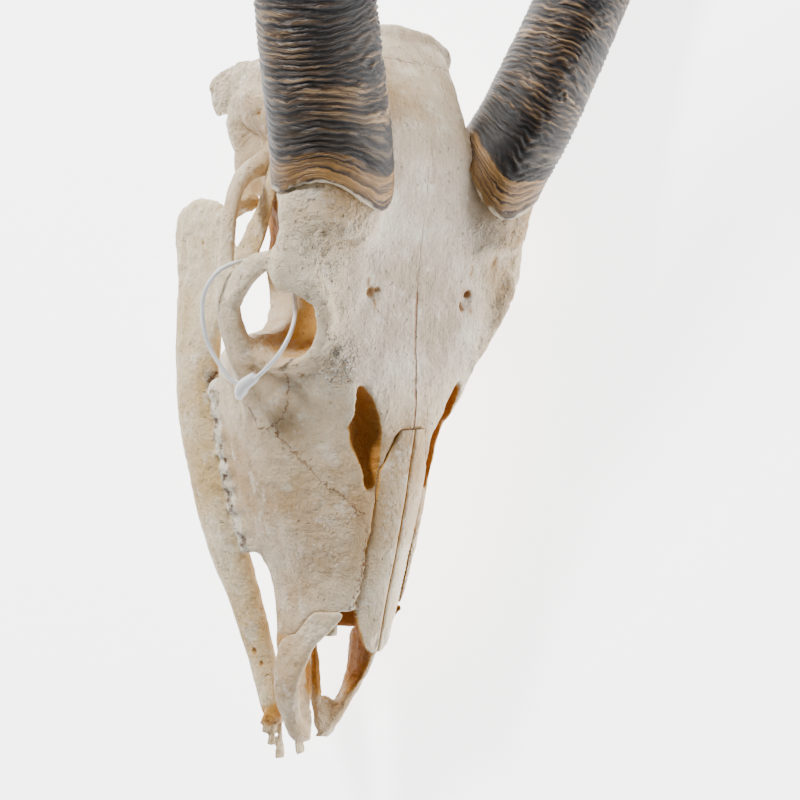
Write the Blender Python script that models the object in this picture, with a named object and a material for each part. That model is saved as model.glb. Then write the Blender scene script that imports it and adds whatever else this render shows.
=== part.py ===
# Bongo antelope skull with lower jaw, horns and a plastic tag loop, life size.
#
# The skull is modelled in its own frame, in millimetres: X to the animal's left, Y back from
# the front of the upper jaw, Z up from the edge of the upper tooth sockets. A last step turns
# it into the pose in which it lies on the ground, and converts it to metres.
import bpy
import bmesh
import numpy as np
from math import cos, pi, radians, sin
from mathutils import Matrix, Vector

MM = 0.001
FIT_GAP = 0.3          # what touching bones keep between them
TAG_THICK = 2.2

# The right horn's middle line, from inside the bone to the tip. Its first part is the bony core.
HORN_PATH = [(-56, 250, 93), (-54, 283, 106.5), (-70, 322, 124), (-88.5, 372, 143.5),
             (-112, 458, 181), (-142, 535, 252), (-152, 596, 335), (-140, 645, 425),
             (-118, 688, 510)]
CORE_LENGTH = 37.7     # along that line, to where the sheath starts
HORN_WIDE = 28.0       # half the horn's wide way at its base
HORN_NARROW = 24.8     # half its narrow way
HORN_KEEL = 0.08       # how far the keel stands out, as a share of the wide way
HORN_TWIST_AT_BASE = 21.0
HORN_TWIST = 150.0     # how far the section turns from base to tip, in degrees
HORN_RINGS = 42
HORN_SIDES = 18
MOUTH = (-0.326, 0.65, 0.687)          # which way the sheath's open end is cut
MOUTH_WAVES = ((2, 7.2, 151), (3, 3.2, -113))   # its waves: count round, height, turn
MOUTH_FADE = 55.0

# How the finished skull lies, on its left side: the way down in the skull's frame, found from
# its weight and the three points that it then rests on
DOWN = (0.9265, -0.0031, -0.3764)
REST_PLACE = (-228.7, -338.76, 55.68)  # where the skull frame's origin then is

WELD_REACH = 0.02      # points closer than this are one
SKIN_VOXEL = 2.3       # size of the voxels that fuse the bone's pieces
JAW_VOXEL = 1.6
CRANIUM_FACES = 7150
JAW_FACES = 1500
PREMAXILLA_FACES = 560

# The mid line of the upper face: Y back, Z up
ROOF = [(50, 58.5), (72, 66), (100, 77), (131, 88), (163, 97.5), (195, 103), (229, 107.4),
        (254, 112.7), (280, 117.5), (310, 118.5), (335, 114), (350, 108.5), (359, 104)]

# One nasal bone: its width and how far its side droops, each at a distance back
NASAL_WIDE = ([48, 56, 66, 74, 100, 142, 150, 161], [3.0, 9.0, 12.5, 15.5, 15.0, 15.5, 12.0, 8.0])
NASAL_DROP = ([48, 74, 146, 161], [1.0, 7.5, 4.5, 2.0])
NASAL_THICK = 3.2

# Orbit, on the animal's right; the left is its mirror
ORBIT_CENTRE = (-68.5, 220.0, 79.5)
ORBIT_FACING = (-0.91, -0.315, 0.26)
ORBIT_HIGH = 23.5
ORBIT_LONG = 25.5
ORBIT_DIP = 5.0        # how deep the rim sinks towards the forehead, and at which turn round it
ORBIT_DIP_AT = -20.0

# Cheek teeth: distance back of the middle, length, half width
TEETH = [(107.5, 9, 4.4), (118.5, 11, 5.4), (130, 11.5, 6.2), (144.5, 16, 7.0), (163, 19, 7.6),
         (184.5, 22, 7.4)]
UPPER_CROWN = -11.0
LOWER_CROWN = -11.5

# Front teeth of the right lower jaw, from the middle one outwards
INCISOR_TIPS = [(-7.3, -11, -19.5), (-13, -3, -20.2), (-15.8, 4, -20.9), (-17, 9, -21.4)]
INCISOR_HALF = 3.9

# The lower jaw's right knuckle
KNUCKLE = (-48.5, 281.5, 33.5)
KNUCKLE_SIZE = (9.5, 5.6, 5.4)

# The tag's loop: up outside the cheek arch, in behind the post of the orbit and out through it
TAG_PATH = [(-73, 188, 53), (-78, 192.9, 49.5), (-86, 210, 46), (-90, 228.9, 50.2),
            (-88, 240, 58.3), (-82, 244.7, 64.2), (-72, 246.1, 66.8), (-63, 242.2, 72.7),
            (-57, 234.8, 76), (-56, 224, 78), (-61, 212, 80.2), (-66, 201.2, 76.2),
            (-70, 192.7, 66.9), (-71.5, 189.5, 60)]
CLASP_PATH = [(-71, 191, 62.5), (-72.5, 187.5, 55.5), (-72, 184.5, 51.5), (-71, 181.5, 48.5)]
TAG_LOOK = (-0.75, -0.5, 0.4)   # which way the tag's flat side faces

COLOURS = {
    "bone": ((0.78, 0.70, 0.58, 1.0), 0.62),
    "jaw": ((0.74, 0.65, 0.52, 1.0), 0.58),
    "horn": ((0.10, 0.075, 0.05, 1.0), 0.55),
    "plastic": ((0.88, 0.88, 0.88, 1.0), 0.35),
}


def material(name):
    """A plain finish from the colour table."""
    found = bpy.data.materials.get(name)
    if found:
        return found
    made = bpy.data.materials.new(name)
    made.use_nodes = True
    shader = made.node_tree.nodes["Principled BSDF"]
    colour, roughness = COLOURS[name]
    shader.inputs["Base Color"].default_value = colour
    shader.inputs["Roughness"].default_value = roughness
    shader.inputs["Metallic"].default_value = 0.0
    return made


def smooth_through(points, count):
    """A Catmull-Rom curve through rows of numbers, read at even steps of its parameter."""
    rows = np.array(points, float)
    rows = np.vstack([2 * rows[0] - rows[1], rows, 2 * rows[-1] - rows[-2]])
    places = np.linspace(0, len(points) - 1, count)
    start = np.minimum(places.astype(int), len(points) - 2)
    t = (places - start)[:, None]
    a, b, c, d = (rows[start + k] for k in range(4))
    return 0.5 * (2 * b + (c - a) * t + (2 * a - 5 * b + 4 * c - d) * t ** 2
                  + (3 * b - a - 3 * c + d) * t ** 3)


def roof_height(y):
    """Height of the face's mid line at a distance back."""
    table = np.array(ROOF, float)
    return np.interp(y, table[:, 0], table[:, 1])


def new_object(name, mesh):
    thing = bpy.data.objects.new(name, mesh)
    bpy.context.scene.collection.objects.link(thing)
    return thing


def skin_rings(name, rings):
    """Joins rings of points, each with the same count, into one closed body with flat ends."""
    bm = bmesh.new()
    loops = [[bm.verts.new(Vector(point) * MM) for point in ring] for ring in rings]
    count = len(loops[0])
    for lower, upper in zip(loops, loops[1:]):
        for k in range(count):
            after = (k + 1) % count
            bm.faces.new((lower[k], lower[after], upper[after], upper[k]))
    for ring in (loops[0], loops[-1]):
        centre = bm.verts.new(sum((v.co for v in ring), Vector()) / count)
        for k in range(count):
            bm.faces.new((ring[k], ring[(k + 1) % count], centre))
    bmesh.ops.recalc_face_normals(bm, faces=bm.faces)
    mesh = bpy.data.meshes.new(name)
    bm.to_mesh(mesh)
    bm.free()
    return new_object(name, mesh)


def loft_along_y(name, stations, step=5.0, sides=36):
    """Cross sections set along Y. Each station is Y and a half outline from top to bottom."""
    outlines = []
    for _, half in stations:
        full = list(half) + [(-x, z) for x, z in reversed(half[1:-1])]
        looped = smooth_through(full[-2:] + full + full[:3], 400)
        span = 400 * 2 // (len(full) + 4)
        body = looped[span:span + 400 * len(full) // (len(full) + 4)]
        pick = np.linspace(0, len(body) - 1, sides, endpoint=False).astype(int)
        outlines.append(body[pick])
    ys = [y for y, _ in stations]
    rows = np.array([np.concatenate([[y], outline.ravel()]) for y, outline in zip(ys, outlines)])
    count = int((ys[-1] - ys[0]) / step) + 1
    fine = smooth_through(rows, max(count, len(ys)))
    rings = []
    for row in fine:
        outline = row[1:].reshape(-1, 2)
        rings.append([(x, row[0], z) for x, z in outline])
    return skin_rings(name, rings)


def plate_along_y(name, stations, step=5.0, sides=14):
    """An upright plate. A station is Y, X at its foot, X at its head, Z low, Z high, half
    thickness."""
    fine = smooth_through(stations, int((stations[-1][0] - stations[0][0]) / step) + 1)
    rings = []
    for y, x_low, x_high, z_low, z_high, half in fine:
        middle = (z_low + z_high) / 2
        reach = (z_high - z_low) / 2
        ring = []
        for k in range(sides):
            angle = 2 * pi * k / sides
            rise = np.sign(sin(angle)) * abs(sin(angle)) ** 0.75
            along = np.sign(cos(angle)) * abs(cos(angle)) ** 0.75
            share = (rise + 1) / 2
            ring.append((x_low + (x_high - x_low) * share + half * along, y, middle + reach * rise))
        rings.append(ring)
    return skin_rings(name, rings)


def bar(name, points, sizes, sides=12, step=4.0, flat_to=(0, 0, 1)):
    """A bar along a smooth path. Sizes are (half width, half height) at each point, the height
    towards flat_to."""
    rows = [tuple(p) + tuple(s) for p, s in zip(points, sizes)]
    length = sum((Vector(b) - Vector(a)).length for a, b in zip(points, points[1:]))
    fine = smooth_through(rows, max(int(length / step), 3))
    path = fine[:, :3]
    ahead = np.gradient(path, axis=0)
    ahead /= np.linalg.norm(ahead, axis=1)[:, None]
    up = np.array(flat_to, float) - (ahead @ np.array(flat_to, float))[:, None] * ahead
    up /= np.linalg.norm(up, axis=1)[:, None]
    side = np.cross(ahead, up)
    turn = np.arange(sides) * 2 * pi / sides
    rings = [[tuple(path[i] + side[i] * fine[i, 3] * cos(a) + up[i] * fine[i, 4] * sin(a))
              for a in turn] for i in range(len(fine))]
    return skin_rings(name, rings)


def ball(name, centre, radii, facing=None, segments=24):
    """An ellipsoid, its first radius along facing where that is given."""
    bm = bmesh.new()
    bmesh.ops.create_uvsphere(bm, u_segments=segments, v_segments=segments // 2, radius=1.0)
    turn = Matrix.Identity(4)
    if facing:
        turn = Vector(facing).to_track_quat("X", "Z").to_matrix().to_4x4()
    bmesh.ops.transform(bm, verts=bm.verts, matrix=Matrix.Translation(Vector(centre) * MM) @ turn
                        @ Matrix.Diagonal((*(Vector(radii) * MM), 1.0)))
    mesh = bpy.data.meshes.new(name)
    bm.to_mesh(mesh)
    bm.free()
    return new_object(name, mesh)


def mirrored(thing, name):
    """The same piece on the animal's other side."""
    mesh = thing.data.copy()
    mesh.transform(Matrix.Diagonal((-1.0, 1.0, 1.0, 1.0)))
    mesh.flip_normals()
    return new_object(name, mesh)


def both_sides(pieces):
    return pieces + [mirrored(piece, piece.name + "_m") for piece in pieces]


def remove(things):
    for thing in things:
        mesh = thing.data
        bpy.data.objects.remove(thing)
        if mesh.users == 0:
            bpy.data.meshes.remove(mesh)


def apply_modifiers(thing):
    """Keeps what the modifiers make as the object's own mesh."""
    graph = bpy.context.evaluated_depsgraph_get()
    made = bpy.data.meshes.new_from_object(thing.evaluated_get(graph))
    thing.modifiers.clear()
    old = thing.data
    thing.data = made
    bpy.data.meshes.remove(old)


def combine(thing, pieces, operation, solver="EXACT"):
    """One Boolean with a collection of closed pieces, which are then removed."""
    group = bpy.data.collections.new("cutters")
    for piece in pieces:
        group.objects.link(piece)
    change = thing.modifiers.new("combine", "BOOLEAN")
    change.operation = operation
    change.operand_type = "COLLECTION"
    change.collection = group
    change.solver = solver
    apply_modifiers(thing)
    remove(pieces)
    bpy.data.collections.remove(group)


def keep_largest(thing):
    """Keeps the largest closed surface, which drops loose scraps and sealed hollows."""
    bm = bmesh.new()
    bm.from_mesh(thing.data)
    bm.faces.ensure_lookup_table()
    seen = set()
    best = []
    for face in bm.faces:
        if face.index in seen:
            continue
        island = [face]
        seen.add(face.index)
        for member in island:
            for edge in member.edges:
                for other in edge.link_faces:
                    if other.index not in seen:
                        seen.add(other.index)
                        island.append(other)
        if len(island) > len(best):
            best = island
    keep = set(best)
    bmesh.ops.delete(bm, geom=[f for f in bm.faces if f not in keep], context="FACES")
    bm.to_mesh(thing.data)
    bm.free()


def fuse(thing, voxel, faces):
    """Fuses overlapping pieces into one skin and thins its faces out."""
    skin = thing.modifiers.new("skin", "REMESH")
    skin.mode = "VOXEL"
    skin.voxel_size = voxel * MM
    apply_modifiers(thing)
    keep_largest(thing)
    now = sum(len(p.vertices) - 2 for p in thing.data.polygons)
    thin = thing.modifiers.new("thin", "DECIMATE")
    thin.ratio = min(1.0, faces / now)
    apply_modifiers(thing)


def weld(thing, reach):
    """Drops the points that only two faces share and the edges shorter than reach, then splits
    the faces into triangles."""
    bm = bmesh.new()
    bm.from_mesh(thing.data)
    bmesh.ops.dissolve_verts(bm, verts=[v for v in bm.verts if len(v.link_edges) == 2])
    bmesh.ops.dissolve_degenerate(bm, edges=bm.edges, dist=reach * MM)
    bmesh.ops.triangulate(bm, faces=bm.faces)
    bm.to_mesh(thing.data)
    bm.free()


def finish(thing, slot):
    """Gives a finished node its material and smooth shading."""
    thing.data.materials.clear()
    thing.data.materials.append(material(slot))
    weld(thing, WELD_REACH)
    thing.data.shade_smooth()
    thing.data.set_sharp_from_angle(angle=radians(50))


def upper_row(y):
    """Distance of the upper tooth row from the mid line."""
    return np.interp(y, [103, 131, 157, 184, 209], [29.5, 35, 39, 41.5, 43.5])


def lower_row(y):
    return upper_row(y) - 5.5


def cheek_teeth(prefix, row, z_root, z_crown):
    """Premolars of one lobe and molars of two, with a ridge on the cheek side of each lobe."""
    made = []
    for number, (middle, length, half) in enumerate(TEETH):
        lobes = 1 if number < 3 else 2
        for lobe in range(lobes):
            y = middle + (lobe - (lobes - 1) / 2) * length / lobes
            x = -float(row(y))
            reach = length / lobes / 2 + 0.3
            tall = z_crown + 0.12 * (number % 3) * (1 if z_root > z_crown else -1)
            made.append(bar(f"{prefix}{number}{lobe}", [(x * 0.99, y, z_root), (x, y, tall)],
                            [(reach, half * 0.8), (reach, half * 0.86)], sides=10,
                            flat_to=(1, 0, 0)))
            cheek = x - half * 0.62
            made.append(bar(f"{prefix}{number}{lobe}r", [(cheek + 1, y - reach * 0.5, z_root),
                                                         (cheek, y - reach * 0.5, tall)],
                            [(reach * 0.4, half * 0.36)] * 2, sides=8, flat_to=(1, 0, 0)))
    return made


def orbit_frame():
    """Centre, outward direction and the two ways across the right orbit's opening."""
    centre = Vector(ORBIT_CENTRE)
    out = Vector(ORBIT_FACING).normalized()
    high = Vector((0.374, -0.396, 0.837))
    high = (high - out * high.dot(out)).normalized()
    return centre, out, high, out.cross(high)


def orbit_rim(name, grow, thick):
    """The raised ring of bone round the right orbit."""
    centre, out, high, along = orbit_frame()
    count = 40
    path = []
    for k in range(count):
        angle = 2 * pi * k / count
        dip = ORBIT_DIP * max(0.0, cos(angle - radians(ORBIT_DIP_AT))) ** 2
        path.append(centre + high * (ORBIT_HIGH + grow) * cos(angle)
                    + along * (ORBIT_LONG + grow) * sin(angle) - out * dip)
    bm = bmesh.new()
    rings = []
    for k, point in enumerate(path):
        ahead = (path[(k + 1) % count] - path[k - 1]).normalized()
        side = ahead.cross(out).normalized()
        ring = []
        for j in range(10):
            turn = 2 * pi * j / 10
            ring.append(bm.verts.new((point + side * thick[0] * cos(turn)
                                      + out * thick[1] * sin(turn)) * MM))
        rings.append(ring)
    for k in range(count):
        lower, upper = rings[k], rings[(k + 1) % count]
        for j in range(10):
            after = (j + 1) % 10
            bm.faces.new((lower[j], lower[after], upper[after], upper[j]))
    bmesh.ops.recalc_face_normals(bm, faces=bm.faces)
    mesh = bpy.data.meshes.new(name)
    bm.to_mesh(mesh)
    bm.free()
    return new_object(name, mesh)


def muzzle():
    """Upper jaws from the front of the maxillae to below the orbits."""
    stations = [
        (58.5, [(0, 52), (12, 52), (18, 50), (23, 30), (20.5, 3), (10, 1), (0, 3)]),
        (72, [(0, 60), (13, 60), (20, 55), (25, 30), (21, 2), (10, 1), (0, 3)]),
        (90, [(0, 69), (14, 68), (22, 61), (28, 34), (22, 1.5), (11, 1), (0, 4)]),
        (107, [(0, 75), (15, 74), (25, 66), (35, 38), (30, 0), (18, 2), (0, 5)]),
        (131, [(0, 84), (16, 82), (25, 75), (43, 38), (39, 0), (22, 4), (0, 6)]),
        (157, [(0, 92), (18, 90), (29, 83), (51, 40), (43, 0), (25, 5), (0, 7)]),
        (184, [(0, 98), (25, 95.5), (38, 88.5), (60, 46), (47, 1), (28, 6), (0, 8)]),
        (205, [(0, 100), (30, 98), (47, 90.5), (68, 54), (49, 4), (28, 9), (0, 12)]),
        (214, [(0, 98), (26, 96), (44, 90), (58, 56), (44, 14), (26, 14), (0, 18)]),
    ]
    return loft_along_y("muzzle", stations)


def vault():
    """Frontal bones, brain case and the floor of the skull behind the palate."""
    stations = [
        (160, [(0, 95), (16, 93), (28, 86), (34, 62), (26, 40), (14, 34), (0, 34)]),
        (180, [(0, 100.5), (24, 98), (42, 90), (48, 66), (36, 40), (16, 34), (0, 32)]),
        (198, [(0, 103.5), (30, 101.5), (51, 94), (59, 72), (44, 40), (18, 32), (0, 30)]),
        (214, [(0, 105.3), (34, 104.5), (62, 99), (70, 78), (50, 40), (18, 30), (0, 28)]),
        (230, [(0, 107.5), (36, 106.5), (71, 100), (79, 86), (52, 42), (18, 28), (0, 27)]),
        (246, [(0, 111), (38, 110.5), (74, 104.5), (79.5, 92), (50, 44), (18, 26), (0, 25)]),
        (262, [(0, 114.5), (38, 114), (69, 109), (75, 94), (46, 46), (20, 25), (0, 24)]),
        (280, [(0, 117.5), (30, 116.5), (50, 110), (54, 84), (42, 44), (22, 24), (0, 22)]),
        (300, [(0, 119), (26, 117), (40, 106), (45, 76), (40, 38), (24, 22), (0, 20)]),
        (325, [(0, 116.5), (24, 114), (36, 104), (42, 72), (38, 34), (24, 20), (0, 16)]),
        (343, [(0, 111), (22, 109), (34, 100), (38, 70), (32, 34), (20, 18), (0, 15)]),
        (355, [(0, 105.5), (16, 104), (28, 95), (30, 68), (24, 40), (14, 24), (0, 22)]),
    ]
    return loft_along_y("vault", stations)


def added_bone():
    """Pieces on the right that are fused to the muzzle and the vault before the hollows."""
    return [
        horn_core(),
        ball("horn_mound", (-50, 272, 97), (25, 22, 19)),
        bar("mastoid", [(-38, 318, 62), (-40, 326, 42), (-36, 334, 24)],
            [(12, 10), (13, 11), (10, 9)]),
        ball("bulla", (-29, 304, 20), (12, 18, 12)),
        ball("bulla_back", (-32, 324, 18), (11, 17, 12)),
        bar("nuchal", [(0, 357, 104), (-22, 355, 101), (-39, 349, 94), (-42, 340, 80),
                       (-43, 328, 62), (-46, 312, 52)],
            [(4, 4)] * 6, flat_to=(0, 1, 0)),
        ball("condyle", (-14, 354, 15), (10, 9, 12)),
        bar("paroccipital", [(-34, 338, 44), (-33, 344, 20), (-31.5, 344, -4), (-31, 343, -12)],
            [(5, 12), (5, 14), (4, 12.5), (3, 10.5)], flat_to=(0, 1, 0)),
        bar("pterygoid", [(-13, 203, 14), (-12.5, 222, 12), (-13, 240, 16), (-15, 262, 26)],
            [(2.2, 9), (2.0, 10), (2.0, 9), (2.5, 5)]),
        bar("facial_crest", [(-46, 160, 28), (-58, 184, 40), (-70, 205, 48), (-76, 216, 50)],
            [(4, 5), (5, 6), (5, 7), (4, 6)]),
    ]


def hollows():
    """What is cut away on the right: orbit, fossae, the slit beside the nasal bones."""
    centre, out = orbit_frame()[:2]
    return [
        ball("socket", centre - out * 14, (31, ORBIT_LONG - 0.5, ORBIT_HIGH - 0.5), facing=out),
        ball("behind_orbit", (-57, 233, 54), (24, 21, 34)),
        ball("temple", (-69, 263, 64), (26, 27, 31)),
        ball("below_temple", (-62, 262, 38), (24, 30, 26)),
        bar("slit", [(-34, 186, 93), (-29, 175, 90), (-24, 160, 88), (-20, 145, 85),
                     (-17, 128, 81), (-15.5, 110, 77)],
            [(1.6, 9), (4, 12), (5.5, 14), (3.8, 14), (2, 12), (1.0, 10)]),
        ball("choana", (-6.5, 222, 16), (5.2, 26, 13)),
    ]


def nasal_room():
    """The nasal chamber, open at the front, the foramen magnum and the brow holes."""
    return [
        bar("chamber", [(0, 40, 28), (0, 60, 30), (0, 80, 36), (0, 105, 45), (0, 135, 52),
                        (0, 165, 62), (0, 182, 68)],
            [(15, 30), (17.5, 29), (19, 30), (20, 31), (20, 32), (20, 28), (14, 20)], sides=16),
        bar("nose_front", [(0, 40, 62), (0, 55, 64), (0, 70, 67)], [(40, 20)] * 3, sides=16),
        bar("magnum", [(0, 368, 33), (0, 346, 37), (0, 330, 42)], [(10, 9), (9.5, 9), (6, 6)]),
        ball("brow_hole", (-33, 226, 107), (3.2, 4.5, 5)),
        ball("brow_hole_l", (32, 224, 108), (4.2, 5, 6)),
    ]


def rims():
    """Rim of the right orbit and the cheek arch, fused after the hollows are cut."""
    return [
        orbit_rim("rim", 2.2, (3.6, 4.2)),
        bar("arch", [(-68, 200, 54), (-76, 214, 53), (-79, 232, 54), (-78, 252, 55),
                     (-73, 272, 54), (-64, 288, 51), (-50, 297, 49), (-40, 302, 48)],
            [(4, 7), (4, 8), (3.6, 7.5), (3.4, 6), (3.4, 5), (4.5, 5), (6, 6), (6, 7)]),
        bar("cheek_post", [(-76, 246, 86), (-80, 236, 72), (-79, 228, 60)],
            [(4, 4), (4, 4.5), (4, 5)], flat_to=(0, 1, 0)),
    ]


def cranium():
    """The upper skull, one fused bone with its cheek teeth."""
    body = muzzle()
    combine(body, [vault()] + both_sides(added_bone()), "UNION")
    combine(body, both_sides(hollows()) + nasal_room(), "DIFFERENCE")
    teeth = cheek_teeth("upper", upper_row, 6.0, UPPER_CROWN)
    combine(body, both_sides(rims() + teeth), "UNION")
    fuse(body, SKIN_VOXEL, CRANIUM_FACES)
    seat = tuple(size + 2 * FIT_GAP for size in KNUCKLE_SIZE)
    rooms = [horn(FIT_GAP), nasal(FIT_GAP), premaxilla(FIT_GAP), ball("seat", KNUCKLE, seat)]
    combine(body, both_sides(rooms), "DIFFERENCE")
    keep_largest(body)
    body.name = "cranium"
    return body


def nasal(grow=0.0):
    """The right nasal bone: an arched plate from the forehead to its free tip."""
    thick = NASAL_THICK + 2 * grow
    front, back = NASAL_WIDE[0][0], NASAL_WIDE[0][-1]
    count = 16
    rings = []
    for k in range(count + 1):
        share = k / count
        y = front + (back - front) * share - grow * (1 - 2 * share)
        wide = np.interp(y, *NASAL_WIDE)
        drop = np.interp(y, *NASAL_DROP)
        top = roof_height(y)
        inner = FIT_GAP / 2 - grow
        outline = []
        for x in np.linspace(inner, wide + grow, 6):
            outline.append((-x, top - drop * (max(x, 0) / wide) ** 2 + grow))
        under = [(x * 0.985, z - thick) for x, z in reversed(outline)]
        rings.append([(x, y, z) for x, z in outline + under])
    return skin_rings("nasal_right", rings)


def premaxilla(grow=0.0):
    """The right premaxilla: a blade along the front of the maxilla and a rod beside the mid
    line, joined by a broad body at the front."""
    stations = [
        (0.5, -6, -6, -3.5, 2.5, 3.6), (4, -9.5, -9, -2.5, 5.5, 5.5),
        (12, -15, -14.5, -0.5, 8, 4.8), (20, -19.5, -18.5, 1, 12, 4.2),
        (30, -24, -22.5, 2.5, 19, 3.6), (38, -25.3, -24, 4, 24, 3.2),
        (46, -25, -23.5, 5.5, 29, 2.9), (54, -24, -22.5, 8, 35, 2.6),
        (58, -23, -21.3, 12, 40, 2.5), (61, -23.2, -21, 22, 45, 2.3),
        (66, -23.4, -20.6, 28, 51, 2.0), (70, -24, -20.4, 33, 56.5, 1.6),
        (72 + grow, -24, -20.4, 38, 54, 1.3),
    ]
    grown = [(y, low, high, foot - grow, head + grow, half + grow)
             for y, low, high, foot, head, half in stations]
    blade = plate_along_y("blade", grown, step=3.0)
    rod = bar("rod", [(-7, 10, 0), (-4, 18, 0.5), (-3.2, 34, 2), (-3.0, 60 + grow, 2.5)],
              [(wide + grow, high + grow)
               for wide, high in [(3.5, 2.8), (2.6, 3.0), (2.2, 3.2), (1.6, 2.2)]])
    front = ball("front", (-8.6, 11, 1.5), (8.0 + grow, 11.5 + grow, 3.6 + grow))
    combine(blade, [rod, front], "UNION")
    if not grow:
        fuse(blade, 1.1, PREMAXILLA_FACES)
    blade.name = "premaxilla_right"
    return blade


def mandible():
    """The right half of the lower jaw with its teeth."""
    stations = [
        (8, -6.5, -7, -26, -16, 4.5), (14, -7, -8, -29, -15, 5.5), (27, -8, -9, -31, -15, 6.0),
        (44, -10, -10.5, -36, -16.5, 5.5), (66, -15, -14.5, -40, -17, 5.5),
        (80, -19, -18, -42, -17, 5.5), (98, -24, -23, -44, -16.5, 6.0),
        (115, -27.5, -29.5, -46, -16, 6.5), (140, -31, -33.5, -49, -16, 7.2),
        (169, -34.5, -37, -50.4, -15, 7.6), (195, -37.5, -40, -48.4, -12, 7.0),
        (212, -39.5, -42, -46, -6, 6.0), (226, -40.5, -45, -44.2, 8, 4.6),
        (238, -41, -47, -41.5, 22, 4.0), (250, -41.5, -49, -39, 28, 3.6),
        (262, -42, -50, -37.6, 24, 3.6), (271, -42, -51, -37.6, 24, 3.6),
        (279, -42, -51, -36.5, 20, 3.4), (284, -42, -50, -34, 14, 3.0),
        (287, -42.5, -48, -28, 4, 2.6), (289, -43, -47, -18, -5, 1.9),
    ]
    pieces = [
        bar("coronoid", [(-46, 240, 14), (-48.5, 252, 30), (-49.5, 268, 45), (-49.5, 284, 55),
                         (-49, 298, 60)],
            [(3, 9), (2.6, 9), (2.2, 7), (2, 5), (1.8, 2.6)]),
        bar("neck", [(-50, 274, 14), (-49.5, 278, 24), (-48.5, 281, 32)],
            [(4, 5), (4.5, 5), (6, 5)], flat_to=(0, 1, 0)),
        ball("knuckle", KNUCKLE, KNUCKLE_SIZE),
    ]
    pieces += cheek_teeth("lower", lower_row, -24.0, LOWER_CROWN)
    body = plate_along_y("mandible", stations)
    combine(body, pieces, "UNION")
    fuse(body, JAW_VOXEL, JAW_FACES)
    combine(body, incisors(), "UNION")
    body.name = "mandible_right"
    return body


def incisors():
    """Four front teeth on the right, fanned out and leaning forward, with spoon-like crowns
    that get smaller from the middle outwards."""
    made = []
    for number, tip in enumerate(INCISOR_TIPS):
        root = np.array((-4.5 - 1.9 * number, 13 + 1.7 * number, -20.5 - 0.3 * number))
        reach = np.array(tip) - root
        half = INCISOR_HALF * 0.78 ** number
        made.append(bar(f"incisor{number}", [root, root + 0.45 * reach, root + 0.82 * reach, tip],
                        [(1.8, 2.0), (1.8, 1.8), (half, 1.5), (half * 0.94, 0.8)],
                        sides=8, step=3.0))
    return made


def horn_run(start, stop, count):
    """Points and directions along the horn's middle line."""
    fine = smooth_through(HORN_PATH, 600)
    run = np.concatenate([[0], np.cumsum(np.linalg.norm(np.diff(fine, axis=0), axis=1))])
    run -= CORE_LENGTH
    stop = run[-1] - 0.5 if stop is None else stop
    marks = np.linspace(start, stop, count)
    path = np.stack([np.interp(marks, run, fine[:, k]) for k in range(3)], axis=1)
    ahead = np.gradient(path, axis=0)
    ahead /= np.linalg.norm(ahead, axis=1)[:, None]
    return marks, run[-1], path, ahead


def horn_rings(start, stop, count, grow, slanted):
    """Rings of a keeled oval that narrows, turns with the spiral and starts on a slant."""
    marks, length, path, ahead = horn_run(start, stop, count)
    mouth = Vector(MOUTH).normalized()
    rings = []
    for i, mark in enumerate(marks):
        share = max(mark, 0) / length
        taper = max((1 - share ** 1.5) ** 0.75 * (1 - 0.12 * share), 0.06)
        axis = Vector(ahead[i])
        up = Vector((0.25, -0.2, 1.0))
        up = (up - axis * up.dot(axis)).normalized()
        side = axis.cross(up)
        twist = radians(HORN_TWIST_AT_BASE - HORN_TWIST * share ** 2)
        wide = up * cos(twist) + side * sin(twist)
        narrow = axis.cross(wide)
        fade = max(0.0, 1 - (mark - start) / MOUTH_FADE) if slanted else 0.0
        ring = []
        for k in range(HORN_SIDES):
            angle = 2 * pi * k / HORN_SIDES
            keel = 1 + HORN_KEEL * max(0.0, cos(angle)) ** 6
            offset = (wide * (HORN_WIDE * taper * keel + grow) * cos(angle)
                      + narrow * (HORN_NARROW * taper + grow) * sin(angle))
            wave = sum(high * cos(waves * angle + radians(turn))
                       for waves, high, turn in MOUTH_WAVES)
            slide = (wave - offset.dot(mouth) / axis.dot(mouth)) * fade
            ring.append(tuple(Vector(path[i]) + offset + axis * slide))
        rings.append(ring)
    return rings


def horn(grow=0.0):
    """The right horn's sheath: a keeled oval along an open spiral."""
    return skin_rings("horn_right", horn_rings(-grow, None, HORN_RINGS, grow, True))


def horn_core():
    """The bony stump that the sheath's open end meets."""
    return skin_rings("horn_core", horn_rings(-30.0, 22.0, 12, -1.2, False))


def tag_clasp(grow=0.0):
    """The moulded block that closes the loop, with a narrow free end."""
    sizes = [(2.6, 2.2), (3.2, 2.6), (3.2, 2.6), (1.4, 1.4)]
    return bar("tag_clasp", CLASP_PATH, [(wide + grow, high + grow) for wide, high in sizes],
               sides=10, step=3.0, flat_to=TAG_LOOK)


def tag_loop():
    """The plastic loop, cut clear of its clasp at both ends."""
    half = TAG_THICK / 2
    loop = bar("tag_loop", TAG_PATH, [(half, half)] * len(TAG_PATH), sides=8, step=4.0,
               flat_to=TAG_LOOK)
    combine(loop, [tag_clasp(FIT_GAP)], "DIFFERENCE")
    keep_largest(loop)
    return loop


def pose_matrix():
    """From the skull's frame to the way it lies: its left side down, its nose towards -Y."""
    up = -Vector(DOWN).normalized()
    back = Vector((0, 1, 0))
    back = (back - up * back.dot(up)).normalized()
    turn = Matrix((back.cross(up), back, up)).to_4x4()
    return Matrix.Translation(Vector(REST_PLACE) * MM) @ turn


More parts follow.
